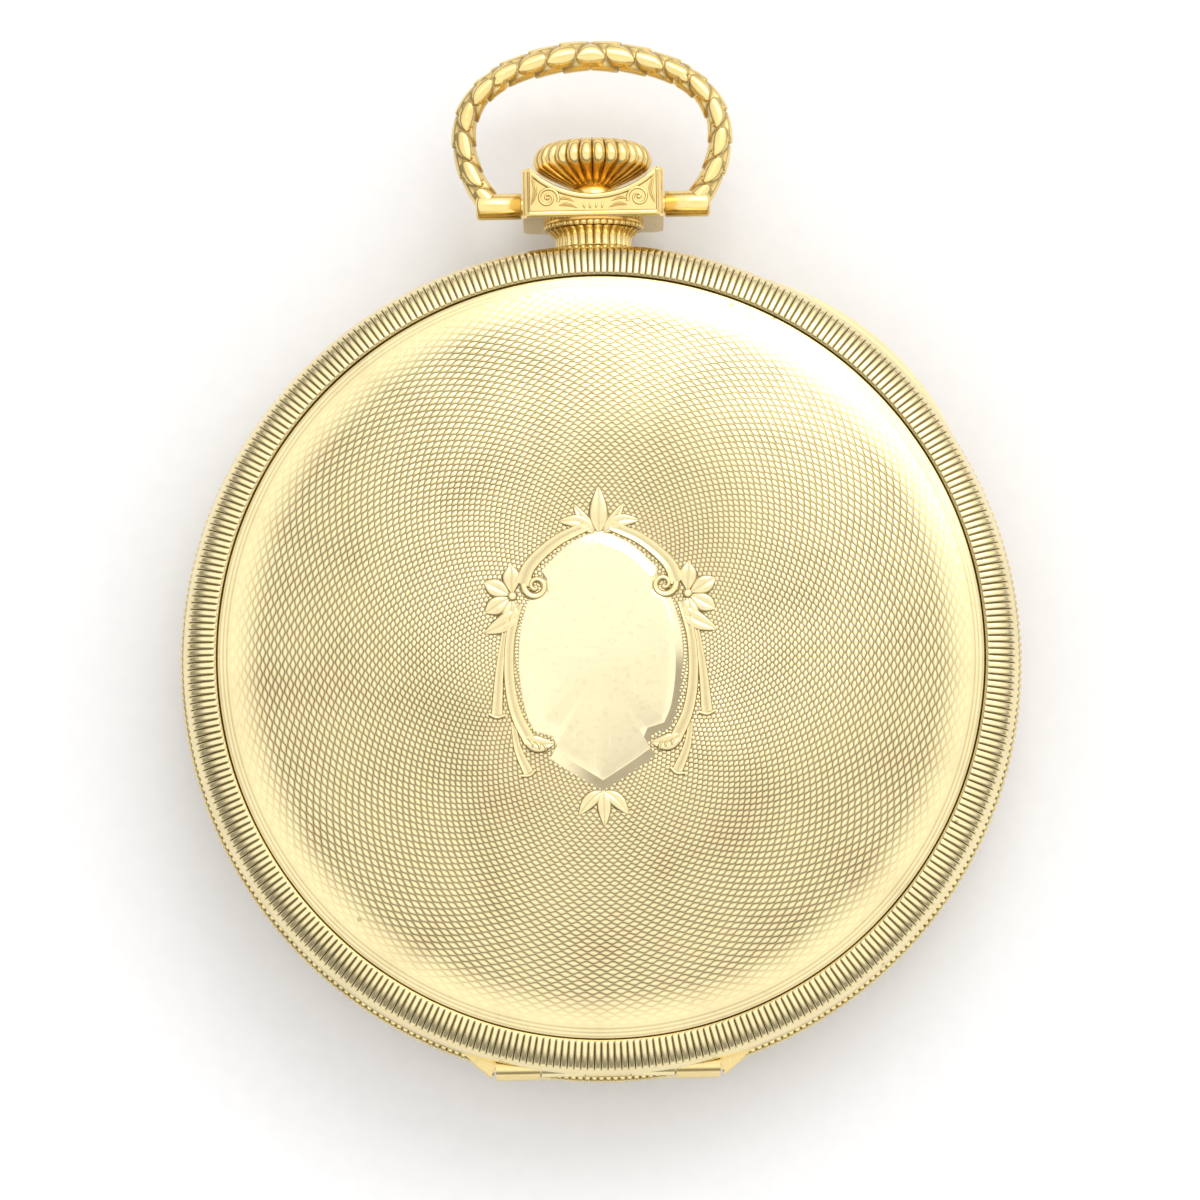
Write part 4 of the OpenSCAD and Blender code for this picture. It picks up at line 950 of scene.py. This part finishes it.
def numeral(text, place, size, name):
    """An upright printed numeral on the dial, as a closed mesh."""
    font = bpy.data.curves.new(name, "FONT")
    font.body = text
    font.size = size
    font.align_x = "CENTER"
    font.align_y = "CENTER"
    font.extrude = PRINT_RISE
    font.resolution_u = 4
    holder = bpy.data.objects.new(name + "_text", font)
    bpy.context.scene.collection.objects.link(holder)
    bpy.context.view_layer.update()
    mesh = bpy.data.meshes.new_from_object(holder.evaluated_get(bpy.context.evaluated_depsgraph_get()))
    bpy.data.objects.remove(holder)
    turn = Matrix((RIGHT, UP, (0, 0, 1))).transposed().to_4x4()
    mesh.transform(Matrix.Translation(place) @ turn)
    mesh.materials.clear()
    mesh.materials.append(materials["print"])
    made = bpy.data.objects.new(name, mesh)
    bpy.context.scene.collection.objects.link(made)
    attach(made, "case")
    return made


def dial_print():
    """Hour numerals, the minute track, and the small seconds track at six."""
    piece = Piece()
    level = DIAL_TOP
    for radius in (MINUTES_IN, MINUTES_OUT):
        dial_ring(piece, (0, 0), radius, 0.04 * MM, level)
    for minute in range(60):
        wide = 0.11 * MM if minute % 5 == 0 else 0.035 * MM
        dial_tick(piece, (0, 0), TAU * minute / 60, MINUTES_IN, MINUTES_OUT, wide, level)
    seconds = joint_place("seconds_turn")
    low = level - SECONDS_SINK
    dial_ring(piece, seconds[:2], SECONDS_OUT, 0.03 * MM, low)
    dial_ring(piece, seconds[:2], SECONDS_IN, 0.02 * MM, low)
    for second in range(60):
        wide = 0.05 * MM if second % 5 == 0 else 0.02 * MM
        dial_tick(piece, seconds[:2], TAU * second / 60, SECONDS_IN, SECONDS_OUT, wide, low)
    piece.build("dial_tracks", materials["print"], "case")
    for hour in range(1, 13):
        if hour == 6:
            continue
        turn = TAU * hour / 12
        place = (UP * math.cos(turn) + RIGHT * math.sin(turn)) * HOURS_R
        place.z = level
        numeral(str(hour), place, NUMERAL_SIZE, f"numeral_{hour}")


# ---- Materials of the CAD nodes ----

def dress_nodes():
    """Every CAD node gets the material of its slot."""
    slots = {s["node"]: s["material_slot"] for s in frame["record"]["subparts"]}
    for name, made in frame["nodes"].items():
        made.data.materials.clear()
        made.data.materials.append(materials[slots[name]])


# ---- Stage ----

def add_floor():
    """A wide pale sheet a hair under the CAD's lowest point."""
    near, far = -FLOOR_HALF, FLOOR_HALF
    corners = [(x, y, FLOOR_Z) for x, y in ((near, near), (far, near), (far, far), (near, far))]
    mesh = bpy.data.meshes.new("floor")
    mesh.from_pydata(corners, [], [(0, 1, 2, 3)])
    mesh.materials.append(paper("floor_paper"))
    floor = bpy.data.objects.new("floor", mesh)
    bpy.context.scene.collection.objects.link(floor)


def add_light(name, place, size, power):
    """A square soft light aimed at the row frame's origin."""
    light = bpy.data.lights.new(name, "AREA")
    light.shape = "SQUARE"
    light.size = size
    light.energy = power
    holder = bpy.data.objects.new(name, light)
    holder.location = place
    holder.rotation_mode = "QUATERNION"
    holder.rotation_quaternion = (-Vector(place)).to_track_quat("-Z", "Y")
    bpy.context.scene.collection.objects.link(holder)


def add_world():
    """A pale studio as polished metal sees it: bright overhead and to the upper right, softer straight
    above, dim towards the horizon. Matt surfaces and the camera each get one even brightness instead."""
    world = bpy.data.worlds.new("studio")
    world.use_nodes = True
    bpy.context.scene.world = world
    tree = world.node_tree
    tree.nodes.clear()
    direction = add_node(tree, "TexCoord").outputs["Generated"]

    def patch(towards, low, high, to_low=0.0, to_high=1.0):
        """A value that fades from one level to another as a ray turns towards a direction."""
        cosine = add_node(tree, "VectorMath", {0: direction, 1: towards}, operation="DOT_PRODUCT")
        inputs = {"Value": cosine.outputs["Value"], "From Min": low, "From Max": high,
                  "To Min": to_low, "To Max": to_high}
        return add_node(tree, "MapRange", inputs, interpolation_type="SMOOTHSTEP").outputs[0]

    def mix(share, a, b):
        return add_node(tree, "Mix", {0: share, 2: a, 3: b}, data_type="FLOAT").outputs[0]

    bright = patch(SKY_TOP, SKY_TOP_FROM, SKY_TOP_TO, SKY_BRIGHT_LEVEL, SKY_TOP_LEVEL)
    level = mix(patch(SKY_BRIGHT, SKY_BRIGHT_FROM, SKY_BRIGHT_TO), SKY_DIM_LEVEL, bright)
    path = add_node(tree, "LightPath").outputs
    level = mix(path["Is Diffuse Ray"], level, SKY_MATT_LEVEL)
    level = mix(path["Is Camera Ray"], level, SKY_SEEN_LEVEL)
    sky = add_node(tree, "Background", {"Color": (1.0, 0.995, 1.0, 1), "Strength": level})
    tree.links.new(sky.outputs[0], add_node(tree, "OutputWorld").inputs[0])


def add_camera():
    """Almost overhead, a little to the viewer's side, and rolled by one degree."""
    target = Vector((0, 3.0 * MM, MID_Z + 4 * MM))
    away = Vector((0, -math.cos(CAMERA_ELEVATION), math.sin(CAMERA_ELEVATION)))
    camera = bpy.data.cameras.new("camera")
    camera.lens = CAMERA_LENS
    camera.clip_start = 0.01
    holder = bpy.data.objects.new("camera", camera)
    holder.location = target + away * CAMERA_DISTANCE
    holder.rotation_mode = "QUATERNION"
    roll = Matrix.Rotation(CAMERA_ROLL, 3, "Z").to_quaternion()
    holder.rotation_quaternion = (-away).to_track_quat("-Z", "Y") @ roll
    bpy.context.scene.collection.objects.link(holder)
    bpy.context.scene.camera = holder


# ---- The watch ----

last_ring = int((TURNING_OUT - TURNING_IN) / RING_PITCH)
middle_ring = last_ring // 2
turned_skin("turning_inner_front", "front_lid", 1, 0, middle_ring, False)
turned_skin("turning_outer_front", "front_lid", 1, middle_ring, last_ring, True)
turned_skin("turning_inner_back", "back_lid", -1, 0, middle_ring, False)
turned_skin("turning_outer_back", "back_lid", -1, middle_ring, last_ring, True)
rim_skin("reeded_rim_front", "front_lid", 1, 48)
rim_skin("reeded_rim_back", "back_lid", -1, 132)
cartouche_shield()
cartouche_leaves()
cartouche_bars()
cartouche_flowers()
back_panel()
bead_row()
hinge_gap = math.asin(8.6 * MM / BAND_R)
neck_gap = math.asin(2.2 * MM / BAND_R)
for side, place in ((1, "front"), (-1, "back")):
    band_engraving(side, -TAU / 4 + hinge_gap, TAU / 4 - neck_gap, f"band_engraving_{place}_right")
    band_engraving(side, TAU / 4 + neck_gap, 3 * TAU / 4 - hinge_gap, f"band_engraving_{place}_left")
neck_and_collar()
pendant_scrolls(1, "pendant_scrolls_front")
pendant_scrolls(-1, "pendant_scrolls_back")
crown_grip()
bow_wire()
dial_print()
dress_nodes()
add_floor()
add_light("key_light", (0.08, 0.3, 0.4), 0.26, 0.5)
add_light("fill_light", (0.3, 0.25, 0.35), 0.2, 0.2)
add_world()
add_camera()
bpy.context.scene.view_settings.view_transform = "Standard"
